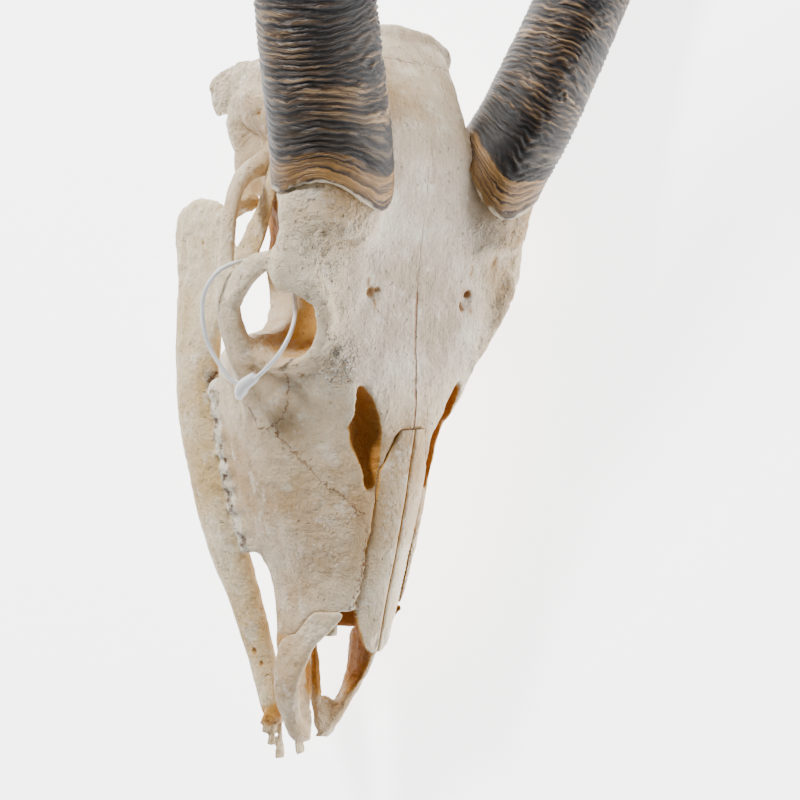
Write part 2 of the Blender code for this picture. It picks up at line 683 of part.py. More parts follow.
def lay_down(nodes):
    """Turns the nodes into the resting pose and cuts the small flats that they rest on."""
    turn = pose_matrix()
    for node in nodes:
        node.data.transform(turn)
        lowest = min(v.co.z for v in node.data.vertices)
        if lowest < 0:
            bm = bmesh.new()
            bmesh.ops.create_cube(bm, size=2.0)
            bmesh.ops.translate(bm, verts=bm.verts, vec=(0, 0, -1.0))
            floor = bpy.data.meshes.new("floor")
            bm.to_mesh(floor)
            bm.free()
            combine(node, [new_object("floor", floor)], "DIFFERENCE")
            weld(node, WELD_REACH)


def main():
    for thing in list(bpy.data.objects):
        bpy.data.objects.remove(thing)
    skull = cranium()
    finish(skull, "bone")
    nodes = [skull]
    for maker, slot in ((nasal, "bone"), (premaxilla, "bone"), (mandible, "jaw"), (horn, "horn")):
        right = maker()
        finish(right, slot)
        left = mirrored(right, right.name.replace("_right", "_left"))
        nodes += [right, left]
    for piece in (tag_loop(), tag_clasp()):
        finish(piece, "plastic")
        nodes.append(piece)
    lay_down(nodes)


if __name__ == "__main__":
    main()
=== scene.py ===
import bmesh
import bpy
import numpy as np
from mathutils import Matrix, Vector


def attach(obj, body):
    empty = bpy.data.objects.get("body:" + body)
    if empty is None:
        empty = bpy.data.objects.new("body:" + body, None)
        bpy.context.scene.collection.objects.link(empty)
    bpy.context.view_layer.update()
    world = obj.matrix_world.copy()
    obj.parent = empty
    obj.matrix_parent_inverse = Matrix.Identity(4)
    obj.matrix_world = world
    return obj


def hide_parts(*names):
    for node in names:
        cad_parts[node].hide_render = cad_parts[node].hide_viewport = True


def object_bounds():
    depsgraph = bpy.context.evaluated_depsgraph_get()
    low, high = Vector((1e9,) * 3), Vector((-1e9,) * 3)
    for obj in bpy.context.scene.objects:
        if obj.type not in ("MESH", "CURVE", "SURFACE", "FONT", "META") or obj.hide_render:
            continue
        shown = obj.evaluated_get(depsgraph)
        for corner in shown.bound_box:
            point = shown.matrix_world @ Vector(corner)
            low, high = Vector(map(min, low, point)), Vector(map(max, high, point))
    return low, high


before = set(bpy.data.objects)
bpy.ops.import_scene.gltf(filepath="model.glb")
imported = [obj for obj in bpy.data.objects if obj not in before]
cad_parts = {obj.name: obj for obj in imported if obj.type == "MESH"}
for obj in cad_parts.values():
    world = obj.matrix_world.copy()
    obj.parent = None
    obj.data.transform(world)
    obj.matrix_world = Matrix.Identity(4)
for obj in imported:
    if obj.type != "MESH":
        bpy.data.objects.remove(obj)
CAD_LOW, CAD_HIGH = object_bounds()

bl_info = {
    "name": "Bongo Antelope Skull",
    "version": (1, 0, 0),
    "blender": (4, 5, 0),
    "location": "3D View > Sidebar > Skull",
    "description": "Bones, horns and tag of a life-size antelope skull",
    "category": "Add Mesh",
}

MM = 0.001
FIT_GAP = 0.3

# How the skull lies: the way down in its own frame, and where that frame's origin then is
DOWN = (0.9265, -0.0031, -0.3764)
REST_PLACE = np.array((-228.7, -338.76, 55.68))

# The camera in the skull's frame
EYE = (-536.97, 154.51, 673.53)
EYE_RIGHT = (0.7377, -0.0628, 0.6723)
EYE_UP = (0.0279, 0.9976, 0.0626)
LENS = 72.01
SENSOR = 36
FLOOR_SIZE = 80
# Lights: metres to the camera's right, up, and back towards it, and then the lamp's size
LIGHTS = {"key": ((-1.7, 1.4, 1.1), 0.5), "fill": ((1.7, -0.3, 1.4), 2.2),
          "top": ((0.2, 1.7, 1.3), 2.0)}

# Points of the solids closer than this, in metres, are one point
WELD = 0.000005

# Mid line of the upper face: Y back, Z up
ROOF = np.array([(46, 57), (50, 58.5), (72, 66), (100, 77), (131, 88), (163, 97.5), (195, 103)])

# One nasal bone: its width and how far its side droops, each at a distance back
NASAL_WIDE = ([48, 56, 66, 74, 100, 142, 150, 161], [3.0, 9.0, 12.5, 15.5, 15.0, 15.5, 12.0, 8.0])
NASAL_DROP = ([48, 74, 146, 161], [1.0, 7.5, 4.5, 2.0])
NASAL_THICK = 3.2

# The right horn, as in the solids
HORN_PATH = [(-56, 250, 93), (-54, 283, 106.5), (-70, 322, 124), (-88.5, 372, 143.5),
             (-112, 458, 181), (-142, 535, 252), (-152, 596, 335), (-140, 645, 425),
             (-118, 688, 510)]
CORE_LENGTH = 37.7
MOUTH = np.array((-0.326, 0.65, 0.687))
MOUTH_WAVES = ((2, 7.2, 151), (3, 3.2, -113))
MOUTH_FADE = 55.0
HORN_WIDE = 28.0
HORN_NARROW = 24.8
HORN_KEEL = 0.08
HORN_TWIST_AT_BASE = 21.0
HORN_TWIST = 150.0
HORN_UP = np.array((0.25, -0.2, 1.0))
# Its rings: close together along the wrinkled stretch, and this many beyond it
WRINKLED_LENGTH = 260
RING_STEP = 0.6
OUTER_RINGS = 150
HORN_SIDES = 160
RIDGE_SPACING = 8.5
LINE_SPACING = 2.9

TAG_PATH = [(-73, 188, 53), (-78, 192.9, 49.5), (-86, 210, 46), (-90, 228.9, 50.2),
            (-88, 240, 58.3), (-82, 244.7, 64.2), (-72, 246.1, 66.8), (-63, 242.2, 72.7),
            (-57, 234.8, 76), (-56, 224, 78), (-61, 212, 80.2), (-66, 201.2, 76.2),
            (-70, 192.7, 66.9), (-71.5, 189.5, 60)]
CLASP_PATH = [(-71, 191, 62.5), (-72.5, 187.5, 55.5), (-72, 184.5, 51.5), (-71, 181.5, 48.5)]
TAG_LOOK = np.array((-0.75, -0.5, 0.4))
# Half width and half thickness of the cord, and of the clasp at each of its points
CORD_HALVES = (1.05, 0.95)
CLASP_HALVES = [(2.5, 2.1), (3.1, 2.5), (3.1, 2.5), (1.5, 1.3)]

# Middles of the right orbit, of the right horn's base and of the left hole of the brow
ORBIT_MIDDLE = (-66, 221, 82)
HORN_BASE = (-60, 300, 116)
BROW_HOLE = (31, 226, 107)
# Where the cheek teeth begin and end, from front to back
TOOTH_ROW = (98, 103, 197, 203)

# Front and back end of the nasal bones, how many rings each has, and how many points across
NASAL_ENDS = (48.0, 161.0)
NASAL_GRID = (240, 40)
# Voxel size of the premaxillae, in millimetres, and how often each small bone is relaxed
PREMAXILLA_VOXEL = 0.55
PREMAXILLA_PASSES = 4
JAW_PASSES = 3
SIDES = (("right", 1), ("left", -1))

# Seams between the bones: points on the right, half width, sway, strength, and whether the
# left has it too
SEAMS = {
    "mid_line": ([(-1, 283, 118), (-3, 257, 114), (-3, 228, 107)], 0.18, 0.3, 0.45, False),
    "mid_crack": ([(-3, 231, 107), (-4, 209, 105), (-2.5, 183, 101), (0.5, 161, 96)],
                  0.7, 0.25, 1.0, False),
    "crown": ([(-38, 337, 98), (-17, 340, 111), (-3, 340, 112), (0, 340, 112)],
              0.3, 1.2, 0.7, True),
    "cheek_front": ([(-56, 188, 67), (-52.6, 179, 63.4), (-51.3, 170, 55.3), (-52, 167, 48.7),
                     (-54, 166, 40), (-61, 177, 41)], 0.35, 1.3, 0.9, True),
    "cheek_low": ([(-61, 177, 41), (-60, 189, 27), (-54, 193, 13)], 0.3, 1.2, 0.8, True),
    "tear_bone": ([(-52, 167, 48.7), (-47.3, 158.6, 52.3), (-40.9, 148.7, 57.5),
                   (-34.9, 139.3, 62.6), (-30, 133.4, 67.8), (-25.3, 127.6, 73),
                   (-21, 120.8, 75)], 0.4, 1.8, 1.0, True),
    "brow": ([(-61.4, 211.7, 104), (-52.6, 202.8, 99.7), (-46.2, 193.5, 97.9),
              (-41.4, 187, 96)], 0.35, 2.2, 0.8, True),
    "post_orbit": ([(-82, 236, 70), (-77, 232, 66), (-78, 238, 62)], 0.35, 1.2, 0.7, True),
    "nose_side": ([(-17, 112, 74), (-16, 90, 66), (-16.5, 74, 58)], 0.35, 1.6, 0.9, True),
}
# Small holes, each an ellipsoid: middle and three radii
HOLES_BOTH = [((-57.9, 196.4, 93), (1.3, 1.6, 3)), ((-55.5, 190, 78), (3, 1.3, 1.9)),
              ((-54, 185, 73), (3, 1.2, 1.6)), ((-51.6, 322, 52), (3, 1.4, 1.4)),
              ((-44, 176, 84), (2, 1.0, 2)), ((-24, 300, 119), (0.9, 0.9, 1.5))]
HOLES_RIGHT = [((-31.8, 227.6, 105), (1.9, 2.6, 4)), ((-28.6, 228.6, 105.5), (1.9, 1.2, 3)),
               ((-30, 221.5, 105), (0.9, 3.4, 2.4)), ((-34, 232, 106.5), (0.8, 2.6, 2))]
HOLES_LEFT = [((30.8, 224.5, 107.5), (4.4, 6.4, 2.6)), ((28.6, 221.5, 104), (2.3, 3, 4)),
              ((33.6, 228, 104), (2.2, 2, 4)), ((33.4, 238, 109), (0.9, 4.0, 2)),
              ((50.4, 243.5, 109), (0.9, 2.0, 2)), ((35.5, 219, 106), (1.4, 2.4, 2))]
HOLES_JAW = [((-51, 264.9, -2.5), (2, 1.1, 1.1)), ((-17.5, 47.5, -25), (4, 2.3, 1.6)),
             ((-16.5, 41.1, -21), (4, 1.6, 1.3))]
# Hollows whose walls are stained: middle line, reach and strength
HOLLOWS = {
    "orbit": ([(-44, 224, 74), (-54, 222, 77)], 27, 0.68),
    "behind_orbit": ([(-50, 240, 64), (-52, 262, 58), (-55, 268, 40)], 25, 1.0),
    "slit": ([(-34, 186, 92), (-24, 160, 85), (-17, 128, 78), (-15.5, 110, 74)], 18, 1.0),
    "nose": ([(0, 50, 26), (0, 105, 45), (0, 165, 62), (0, 182, 68)], 38, 0.95),
    "brain": ([(0, 362, 33), (0, 330, 42)], 16, 0.8),
}


def unit(rows):
    """Each row divided by its length."""
    return rows / np.linalg.norm(rows, axis=-1, keepdims=True)


UP = -unit(np.array(DOWN))
BACK = unit(np.array((0.0, 1.0, 0.0)) - UP * UP[1])
LYING = np.array((np.cross(BACK, UP), BACK, UP))


def laid(points):
    """Skull frame in millimetres to the world in metres: turned by LYING, then moved."""
    return (np.asarray(points, float) @ LYING.T + REST_PLACE) * MM


def stood(points):
    """The way back, from the world in metres to the skull's frame in millimetres."""
    return (np.asarray(points, float) / MM - REST_PLACE) @ LYING


def lattice(points, size, seed):
    """Smooth noise from -1 to 1: hashed values at the corners of cubes of that size, blended
    with the weights 3t² - 2t³."""
    cell = points / size + 31.7 * seed
    base = np.floor(cell).astype(np.int64)
    share = cell - base
    share = share * share * (3 - 2 * share)
    total = np.zeros(len(points))
    for corner in range(8):
        step = np.array([(corner >> k) & 1 for k in range(3)])
        key = (base + step).astype(np.uint64)
        mixed = (key[:, 0] * np.uint64(73856093)) ^ (key[:, 1] * np.uint64(19349663))
        mixed ^= key[:, 2] * np.uint64(83492791)
        mixed ^= mixed >> np.uint64(13)
        mixed *= np.uint64(1274126177)
        mixed ^= mixed >> np.uint64(16)
        value = (mixed & np.uint64(0xFFFF)).astype(float) / 32767.5 - 1
        weight = np.prod(np.where(step == 1, share, 1 - share), axis=1)
        total += value * weight
    return total


def layers(points, size, seed, count=3):
    """Noise of halving sizes and strengths, added up."""
    return sum(lattice(points, size / 2 ** k, seed + k) / 2 ** k for k in range(count))


def ease(values, low, high):
    """0 below low, 1 above high, and 3t² - 2t³ between."""
    share = np.clip((values - low) / (high - low), 0, 1)
    return share * share * (3 - 2 * share)


def between(values, low, full_low, full_high, high):
    """0 outside low and high, 1 from full_low to full_high, eased on the way."""
    return ease(values, low, full_low) * ease(-values, -high, -full_high)


def hill(values, middle, width):
    """exp(-((value - middle) / width)²)."""
    return np.exp(-((values - middle) / width) ** 2)


def nearest(points, line):
    """Shortest distance from each point to a bent line, the nearest place on it, and which way
    the line runs there."""
    best = np.full(len(points), 1e9)
    place = np.zeros_like(points)
    ahead = np.zeros_like(points)
    line = np.asarray(line, float)
    for a, b in zip(line, line[1:]):
        along = np.clip((points - a) @ (b - a) / ((b - a) @ (b - a)), 0, 1)
        spot = a + along[:, None] * (b - a)
        far = np.linalg.norm(points - spot, axis=1)
        closer = far < best
        best = np.where(closer, far, best)
        place[closer] = spot[closer]
        ahead[closer] = unit(b - a)
    return best, place, ahead


def smooth_through(points, count):
    """A Catmull-Rom curve through rows of numbers, read at even steps of its parameter."""
    rows = np.array(points, float)
    rows = np.vstack([2 * rows[0] - rows[1], rows, 2 * rows[-1] - rows[-2]])
    places = np.linspace(0, len(points) - 1, count)
    start = np.minimum(places.astype(int), len(points) - 2)
    t = (places - start)[:, None]
    a, b, c, d = (rows[start + k] for k in range(4))
    return 0.5 * (2 * b + (c - a) * t + (2 * a - 5 * b + 4 * c - d) * t ** 2
                  + (3 * b - a - 3 * c + d) * t ** 3)


def folded_right(points):
    """The points with the left side laid over the right one."""
    return np.stack([-np.abs(points[:, 0]), points[:, 1], points[:, 2]], axis=1)


def set_attribute(mesh, name, values):
    """Keeps one value for each point of a mesh, for its material."""
    found = mesh.attributes.get(name) or mesh.attributes.new(name, "FLOAT", "POINT")
    found.data.foreach_set("value", np.asarray(values, np.float32))


def grid_piece(name, rings, fields):
    """A closed tube from a grid of rings, rings × sides × 3 in the skull's frame, with a fan of
    triangles on each end. Fields are values on the same grid."""
    count, sides = rings.shape[:2]
    ends = np.stack([rings[0].mean(axis=0), rings[-1].mean(axis=0)])
    points = np.vstack([rings.reshape(-1, 3), ends])
    here = np.arange(count * sides).reshape(count, sides)
    after = np.roll(here, -1, axis=1)
    quads = np.stack([here[:-1], after[:-1], after[1:], here[1:]], axis=-1).reshape(-1, 4)
    first, last = count * sides, count * sides + 1
    low = np.stack([after[0], here[0], np.full(sides, first)], axis=-1)
    high = np.stack([here[-1], after[-1], np.full(sides, last)], axis=-1)
    faces = quads.tolist() + low.tolist() + high.tolist()
    mesh = bpy.data.meshes.new(name)
    mesh.from_pydata(laid(points).tolist(), [], faces)
    for label, values in fields.items():
        set_attribute(mesh, label, np.concatenate([values.ravel(), [values[0].mean(),
                                                                   values[-1].mean()]]))
    mesh.shade_smooth()
    thing = bpy.data.objects.new(name, mesh)
    bpy.context.scene.collection.objects.link(thing)
    return thing


def outward(thing):
    """Recalculates a piece's normals so that its faces point out."""
    bm = bmesh.new()
    bm.from_mesh(thing.data)
    bmesh.ops.recalc_face_normals(bm, faces=bm.faces)
    bm.to_mesh(thing.data)
    bm.free()
    return thing


def apply_modifiers(thing):
    """Makes the shape that the modifiers give the piece's own mesh."""
    graph = bpy.context.evaluated_depsgraph_get()
    made = bpy.data.meshes.new_from_object(thing.evaluated_get(graph))
    thing.modifiers.clear()
    thing.data = made


def hole_cutter(holes):
    """One mesh of ellipsoids, each a grid of turns and heights on the unit ball, stretched."""
    turn, rise = np.meshgrid(np.linspace(0, 2 * np.pi, 16, endpoint=False),
                             np.linspace(-1, 1, 11)[1:-1] * np.pi / 2, indexing="ij")
    ball = np.stack([np.cos(turn) * np.cos(rise), np.sin(turn) * np.cos(rise), np.sin(rise)],
                    axis=-1)
    sides, levels = ball.shape[:2]
    here = np.arange(sides * levels).reshape(sides, levels)
    after = np.roll(here, -1, axis=0)
    quads = np.stack([here[:, :-1], after[:, :-1], after[:, 1:], here[:, 1:]], axis=-1)
    faces = quads.reshape(-1, 4).tolist() + [here[::-1, 0].tolist(), here[:, -1].tolist()]
    points, all_faces = [], []
    for centre, radii in holes:
        start = sides * levels * len(points)
        points.append(ball.reshape(-1, 3) * np.array(radii) + np.array(centre))
        all_faces += [[k + start for k in face] for face in faces]
    mesh = bpy.data.meshes.new("holes")
    mesh.from_pydata(laid(np.concatenate(points)).tolist(), [], all_faces)
    return bpy.data.objects.new("holes", mesh)


def bone_skin(name, node, voxel, passes, holes=(), soft_at=None):
    """A fine skin over a bone's solid: welded, pierced, remeshed in small voxels and relaxed,
    so that no facet shows. Where soft_at is given, it is relaxed much further there."""
    bm = bmesh.new()
    bm.from_mesh(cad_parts[node].data)
    bmesh.ops.remove_doubles(bm, verts=bm.verts, dist=WELD)
    mesh = bpy.data.meshes.new(name)
    bm.to_mesh(mesh)
    bm.free()
    thing = bpy.data.objects.new(name, mesh)
    bpy.context.scene.collection.objects.link(thing)
    if holes:
        cutter = hole_cutter(holes)
        pierce = thing.modifiers.new("pierce", "BOOLEAN")
        pierce.operation = "DIFFERENCE"
        pierce.object = cutter
        pierce.use_self = True
        bpy.context.scene.collection.objects.link(cutter)
        apply_modifiers(thing)
        bpy.data.objects.remove(cutter)
    fine = thing.modifiers.new("fine", "REMESH")
    fine.mode = "VOXEL"
    fine.voxel_size = voxel * MM
    relax = thing.modifiers.new("relax", "SMOOTH")
    relax.factor = 0.5
    relax.iterations = passes
    apply_modifiers(thing)
    if soft_at:
        points = read_skin(thing)[0]
        soften(thing, points, soft_at(points))
    return thing


def soften(thing, points, weight, rounds=70):
    """Moves each point towards the mean of its neighbours, time and again, by its weight."""
    mesh = thing.data
    edges = np.zeros(len(mesh.edges) * 2, np.int32)
    mesh.edges.foreach_get("vertices", edges)
    a, b = edges.reshape(-1, 2).T
    count = np.bincount(a, minlength=len(points)) + np.bincount(b, minlength=len(points))
    share = (0.5 * weight)[:, None]
    for _ in range(rounds):
        mean = np.stack([np.bincount(a, points[b, k], len(points))
                         + np.bincount(b, points[a, k], len(points)) for k in range(3)], axis=1)
        points = points + share * (mean / count[:, None] - points)
    write_skin(thing, points)


def in_rows(values, field, count):
    """One three-number field of Blender's as rows."""
    flat = np.zeros(count * 3, np.float32)
    values.foreach_get(field, flat)
    return flat.reshape(-1, 3)


def read_skin(thing):
    """A piece's points in the skull's frame and its normals there."""
    mesh = thing.data
    count = len(mesh.vertices)
    normals = in_rows(mesh.vertex_normals, "vector", count)
    return stood(in_rows(mesh.vertices, "co", count)), normals.astype(float) @ LYING


def write_skin(thing, points):
    """Gives a piece these points of the skull's frame."""
    thing.data.vertices.foreach_set("co", laid(points).ravel().astype(np.float32))
    thing.data.update()


def thin_out(thing, most):
    """Collapses the least needed edges until at most that many triangles are left."""
    now = sum(len(p.vertices) - 2 for p in thing.data.polygons)
    if now > most:
        thin = thing.modifiers.new("thin", "DECIMATE")
        thin.ratio = most / now
        apply_modifiers(thing)


def seam_fields(points, normals):
    """How each point lies to the nearest seam: its distance across the seam with a sign for
    the side, 1 near it and 0 away from it, and the seam's half width, sway and strength. The
    material draws the seam from these, finer than the mesh."""
    best = np.full(len(points), 1e9)
    fields = {label: np.zeros(len(points)) for label in ("across", "width", "sway", "strong")}
    for line, width, sway, strong, paired in SEAMS.values():
        for flip in ((1, -1) if paired else (1,)):
            far, place, ahead = nearest(points, np.array(line, float) * (flip, 1, 1))
            side = unit(np.cross(ahead, normals) + 1e-9)
            across = np.einsum("ij,ij->i", points - place, side)
            closer = far < best
            best = np.where(closer, far, best)
            for label, value in (("across", across), ("width", width), ("sway", sway),
                                 ("strong", strong)):
                fields[label] = np.where(closer, value, fields[label])
    fields["near"] = 1 - ease(best, 2.6, 4.2)
    return fields


def hole_field(points, holes):
    """1 inside the holes and at their edges, 0 away from them. The material paints them ochre:
    partly their real stain, partly painted shade for depth that the coarse skin does not show.
    """
    inside = np.zeros(len(points))
    for centre, radii in holes:
        scaled = (points - np.array(centre, float)) / (np.array(radii) + 0.4)
        inside = np.maximum(inside, 1 - ease(np.linalg.norm(scaled, axis=1), 0.7, 1.1))
    return inside


def stain_field(points, normals):
    """How far walls that face the middle line of a hollow are stained: its strength within its
    reach, 0 elsewhere."""
    stain = np.zeros(len(points))
    for line, reach, strength in HOLLOWS.values():
        for side in (1, -1):
            row = np.array(line, float) * (side, 1, 1)
            far, place, _ = nearest(points, row)
            faces_it = np.einsum("ij,ij->i", normals, place - points) / np.maximum(far, 0.1)
            wall = ease(faces_it, 0.1, 0.5) * ease(reach - far, 0, 9)
            stain = np.maximum(stain, wall * strength)
    return stain


def dress_bone(thing, rough_at):
    """Moves a bone skin's points along its normals: broad waves, fine grain and rough parts."""
    points, normals = read_skin(thing)
    lift = 0.55 * layers(points, 22, 21) + 0.26 * layers(points, 6.0, 31)
    lift += 0.9 * rough_at(points) * layers(points, 4.0, 41)
    write_skin(thing, points + normals * lift[:, None])


def colour_bone(thing, holes, seams, fields):
    """Stores where seams, stains, pits and the bones' own tints lie, for the material."""
    points, normals = read_skin(thing)
    if seams:
        for label, values in seam_fields(points, normals).items():
            set_attribute(thing.data, f"seam_{label}", values)
    set_attribute(thing.data, "hole", hole_field(points, holes))
    if "stain" not in fields:
        set_attribute(thing.data, "stain", stain_field(points, normals))
    for label, rule in fields.items():
        set_attribute(thing.data, label, rule(points))


def brow_tint(points):
    """1 on the frontal bones between the orbits and back between the horns."""
    x, y, z = points.T
    return between(y, 160, 200, 270, 330) * ease(z, 88, 100) * ease(-np.abs(x), -58, -30)


def soft_part(points):
    """Where the face is smooth: its upper side, but not the rims of orbits, slits and horns."""
    folded = folded_right(points)
    top = ease(points[:, 2], 84, 96) * between(points[:, 1], 165, 185, 335, 352)
    slit = nearest(folded, HOLLOWS["slit"][0])[0]
    orbit, horn = (np.linalg.norm(folded - np.array(middle), axis=1)
                   for middle in (ORBIT_MIDDLE, HORN_BASE))
    left_hole, right_hole = (np.linalg.norm(points - np.array(BROW_HOLE) * (side, 1, 1), axis=1)
                             for side in (1, -1))
    keep = ease(slit, 8, 14) * ease(orbit, 27, 33) * ease(horn, 30, 38)
    return top * keep * ease(left_hole, 7, 11) * ease(right_hole, 5, 9)


def pitted_part(points):
    """Where the bone is full of pores: along the brow, before the slit, at the horn bases and
    over the back of the skull."""
    x, y, z = points.T
    side = np.abs(x)
    brow = hill(y, 196, 14) * hill(side, 47, 8)
    over_orbit = hill(y, 232, 24) * hill(side, 62, 15)
    horn_base = hill(y, 258, 14) * hill(side, 54, 26)
    nape = ease(y, 305, 335) * ease(-z, -100, -75)
    snout = hill(y, 100, 20) * ease(side, 18, 24)
    return np.clip((brow + 0.8 * over_orbit + 0.8 * horn_base) * ease(z, 60, 84) + 0.8 * nape
                   + 0.35 * snout, 0, 1)


def crusty_part(points):
    """Where the bone stands in small crumbs: in front of the orbit, beside the slit."""
    x, y, z = points.T
    crumbs = hill(y, 192, 10) * hill(np.abs(x), 46, 6)
    return np.clip(1.3 * crumbs * ease(z, 78, 88) + 0.3 * pitted_part(points), 0, 1)


def upper_tooth(points):
    """1 on the crowns of the upper cheek teeth."""
    x, y, z = points.T
    return ease(np.abs(x), 24, 27) * between(y, *TOOTH_ROW) * ease(-z, 0.5, 3.0)


def lower_tooth(points):
    """1 on the crowns of the lower cheek teeth, and a third of that on the front teeth."""
    y, z = points[:, 1], points[:, 2]
    return np.maximum(between(y, *TOOTH_ROW) * ease(z, -16.5, -14.5), 0.35 * ease(-y, -13, -9))


def fill(tree, made, inputs):
    """Sets a node's inputs by name, or links those whose value is another node's output."""
    for label, value in inputs.items():
        socket = made.inputs[label]
        if isinstance(value, bpy.types.NodeSocket):
            tree.links.new(value, socket)
        else:
            socket.default_value = value


# Materials: small helpers that add nodes and return an output socket
def node(tree, kind, inputs=None, out=0, **options):
    """Adds a node, sets its options and fills its inputs."""
    made = tree.nodes.new(kind)
    for label, value in options.items():
        setattr(made, label, value)
    fill(tree, made, inputs or {})
    return made.outputs[out]


def blend(tree, factor, low, high):
    """Colour low at factor 0 and high at factor 1."""
    return node(tree, "ShaderNodeMix", {0: factor, 6: low, 7: high}, out=2, data_type="RGBA")


def calc(tree, operation, a, b=0.0, clamp=False):
    """One step of arithmetic, held within 0 and 1 where clamp says so."""
    return node(tree, "ShaderNodeMath", {0: a, 1: b}, operation=operation, use_clamp=clamp)


def spread(tree, value, low, high, to_low=0.0, to_high=1.0):
    """to_low + (to_high - to_low) * (value - low) / (high - low), held within its ends."""
    return node(tree, "ShaderNodeMapRange", {"Value": value, "From Min": low, "From Max": high,
                                             "To Min": to_low, "To Max": to_high})


def noise(tree, vector, scale, detail=4.0, roughness=0.6):
    """Noise with that many cells to the metre."""
    return node(tree, "ShaderNodeTexNoise", {"Vector": vector, "Scale": scale, "Detail": detail,
                                             "Roughness": roughness})


def streaks(tree, place, across, mark, fineness, detail=3.0):
    """Noise in four dimensions that changes slowly along the surface and fast with the mark, so
    that it runs in lines of equal mark."""
    slow = node(tree, "ShaderNodeMapping", {"Vector": place, "Scale": (across,) * 3})
    return node(tree, "ShaderNodeTexNoise", {"Vector": slow, "Scale": 1.0, "Detail": detail,
                                             "Roughness": 0.62,
                                             "W": calc(tree, "MULTIPLY", mark, fineness)},
                noise_dimensions="4D")


def stored(tree, name):
    """What set_attribute kept under that name."""
    return node(tree, "ShaderNodeAttribute", out=2, attribute_name=name)


def hexed(code):
    """A colour as the eye names it, #rrggbb, in the linear values that shaders take."""
    parts = [int(code[k:k + 2], 16) / 255 for k in (0, 2, 4)]
    return tuple(c / 12.92 if c < 0.04045 else ((c + 0.055) / 1.055) ** 2.4 for c in parts) + (1,)


def new_group(name, inputs, outputs):
    """An empty node group with those named inputs, their defaults, and outputs."""
    tree = bpy.data.node_groups.new(name, "ShaderNodeTree")
    for label, (kind, value) in inputs.items():
        socket = tree.interface.new_socket(label, in_out="INPUT", socket_type=kind)
        socket.default_value = value
    for label, kind in outputs.items():
        tree.interface.new_socket(label, in_out="OUTPUT", socket_type=kind)
    return tree, tree.nodes.new("NodeGroupInput"), tree.nodes.new("NodeGroupOutput")


FLOAT = "NodeSocketFloat"
COLOUR = "NodeSocketColor"


def mottle_group():
    """Two tones that drift into each other, with fine specks of the darker one."""
    tree, start, end = new_group(
        "mottle", {"Light": (COLOUR, (1, 1, 1, 1)), "Dark": (COLOUR, (0, 0, 0, 1)),
                   "Size": (FLOAT, 12.0), "Specks": (FLOAT, 0.2)},
        {"Colour": COLOUR, "Value": FLOAT})
    place = node(tree, "ShaderNodeTexCoord", out=3)
    broad = noise(tree, place, start.outputs["Size"], detail=5.0)
    value = spread(tree, broad, 0.36, 0.64)
    fine = noise(tree, place, 420.0, detail=3.0, roughness=0.7)
    speck = calc(tree, "MULTIPLY", spread(tree, fine, 0.56, 0.72), start.outputs["Specks"])
    both = calc(tree, "ADD", value, speck, clamp=True)
    tree.links.new(blend(tree, both, start.outputs["Light"], start.outputs["Dark"]),
                   end.inputs["Colour"])
    tree.links.new(both, end.inputs["Value"])
    return tree


def pore_group():
    """Small round pores: 1 at the middle of each, 0 between."""
    tree, start, end = new_group("pores", {"Size": (FLOAT, 700.0), "Amount": (FLOAT, 1.0)},
                                 {"Mask": FLOAT})
    place = node(tree, "ShaderNodeTexCoord", out=3)
    warped = noise(tree, place, 300.0, detail=2.0)
    cells = node(tree, "ShaderNodeTexVoronoi", {"Vector": place, "Scale": start.outputs["Size"],
                                                "Randomness": 1.0})
    reach = spread(tree, warped, 0.45, 0.7, 0.05, 0.42)
    inside = calc(tree, "SUBTRACT", reach, cells)
    mask = calc(tree, "MULTIPLY", calc(tree, "MULTIPLY", inside, 6.0, clamp=True),
                start.outputs["Amount"])
    tree.links.new(mask, end.inputs["Mask"])
    return tree


def stain_group():
    """Lays a tan stain over a colour, and a deep one where it is strongest, with its edges
    broken up by noise."""
    tree, start, end = new_group(
        "stain", {"Colour": (COLOUR, (1, 1, 1, 1)), "Stain": (COLOUR, (0.5, 0.3, 0.1, 1)),
                  "Deep": (COLOUR, (0.3, 0.1, 0.0, 1)), "Amount": (FLOAT, 0.0)},
        {"Colour": COLOUR})
    place = node(tree, "ShaderNodeTexCoord", out=3)
    broken = spread(tree, noise(tree, place, 110.0, detail=6.0), 0.3, 0.7, -0.3, 0.3)
    amount = calc(tree, "ADD", start.outputs["Amount"], broken)
    light = calc(tree, "MULTIPLY", spread(tree, amount, 0.1, 0.55),
                 spread(tree, start.outputs["Amount"], 0.02, 0.25))
    deep = calc(tree, "MULTIPLY", spread(tree, amount, 0.6, 1.0), light)
    tone = blend(tree, light, start.outputs["Colour"], start.outputs["Stain"])
    tree.links.new(blend(tree, deep, tone, start.outputs["Deep"]), end.inputs["Colour"])
    return tree


def seam_group():
    """A wandering dark line where the distance across, shaken by noise, is below the width."""
    tree, start, end = new_group("seam", {"Sway scale": (FLOAT, 330.0)}, {"Mask": FLOAT})
    place = node(tree, "ShaderNodeTexCoord", out=3)
    shake = spread(tree, noise(tree, place, start.outputs["Sway scale"], detail=2.5), 0.3, 0.7,
                   -1.0, 1.0)
    across = calc(tree, "ADD", stored(tree, "seam_across"),
                  calc(tree, "MULTIPLY", shake, stored(tree, "seam_sway")))
    far = calc(tree, "DIVIDE", calc(tree, "ABSOLUTE", across), calc(
        tree, "ADD", stored(tree, "seam_width"), 0.01))
    line = spread(tree, far, 0.6, 1.5, 1.0, 0.0)
    broken = spread(tree, noise(tree, place, 140.0, detail=2.0), 0.35, 0.6, 0.35, 1.0)
    held = calc(tree, "MULTIPLY", stored(tree, "seam_near"), stored(tree, "seam_strong"))
    mask = calc(tree, "MULTIPLY", calc(tree, "MULTIPLY", line, broken), held, clamp=True)
    tree.links.new(mask, end.inputs["Mask"])
    return tree


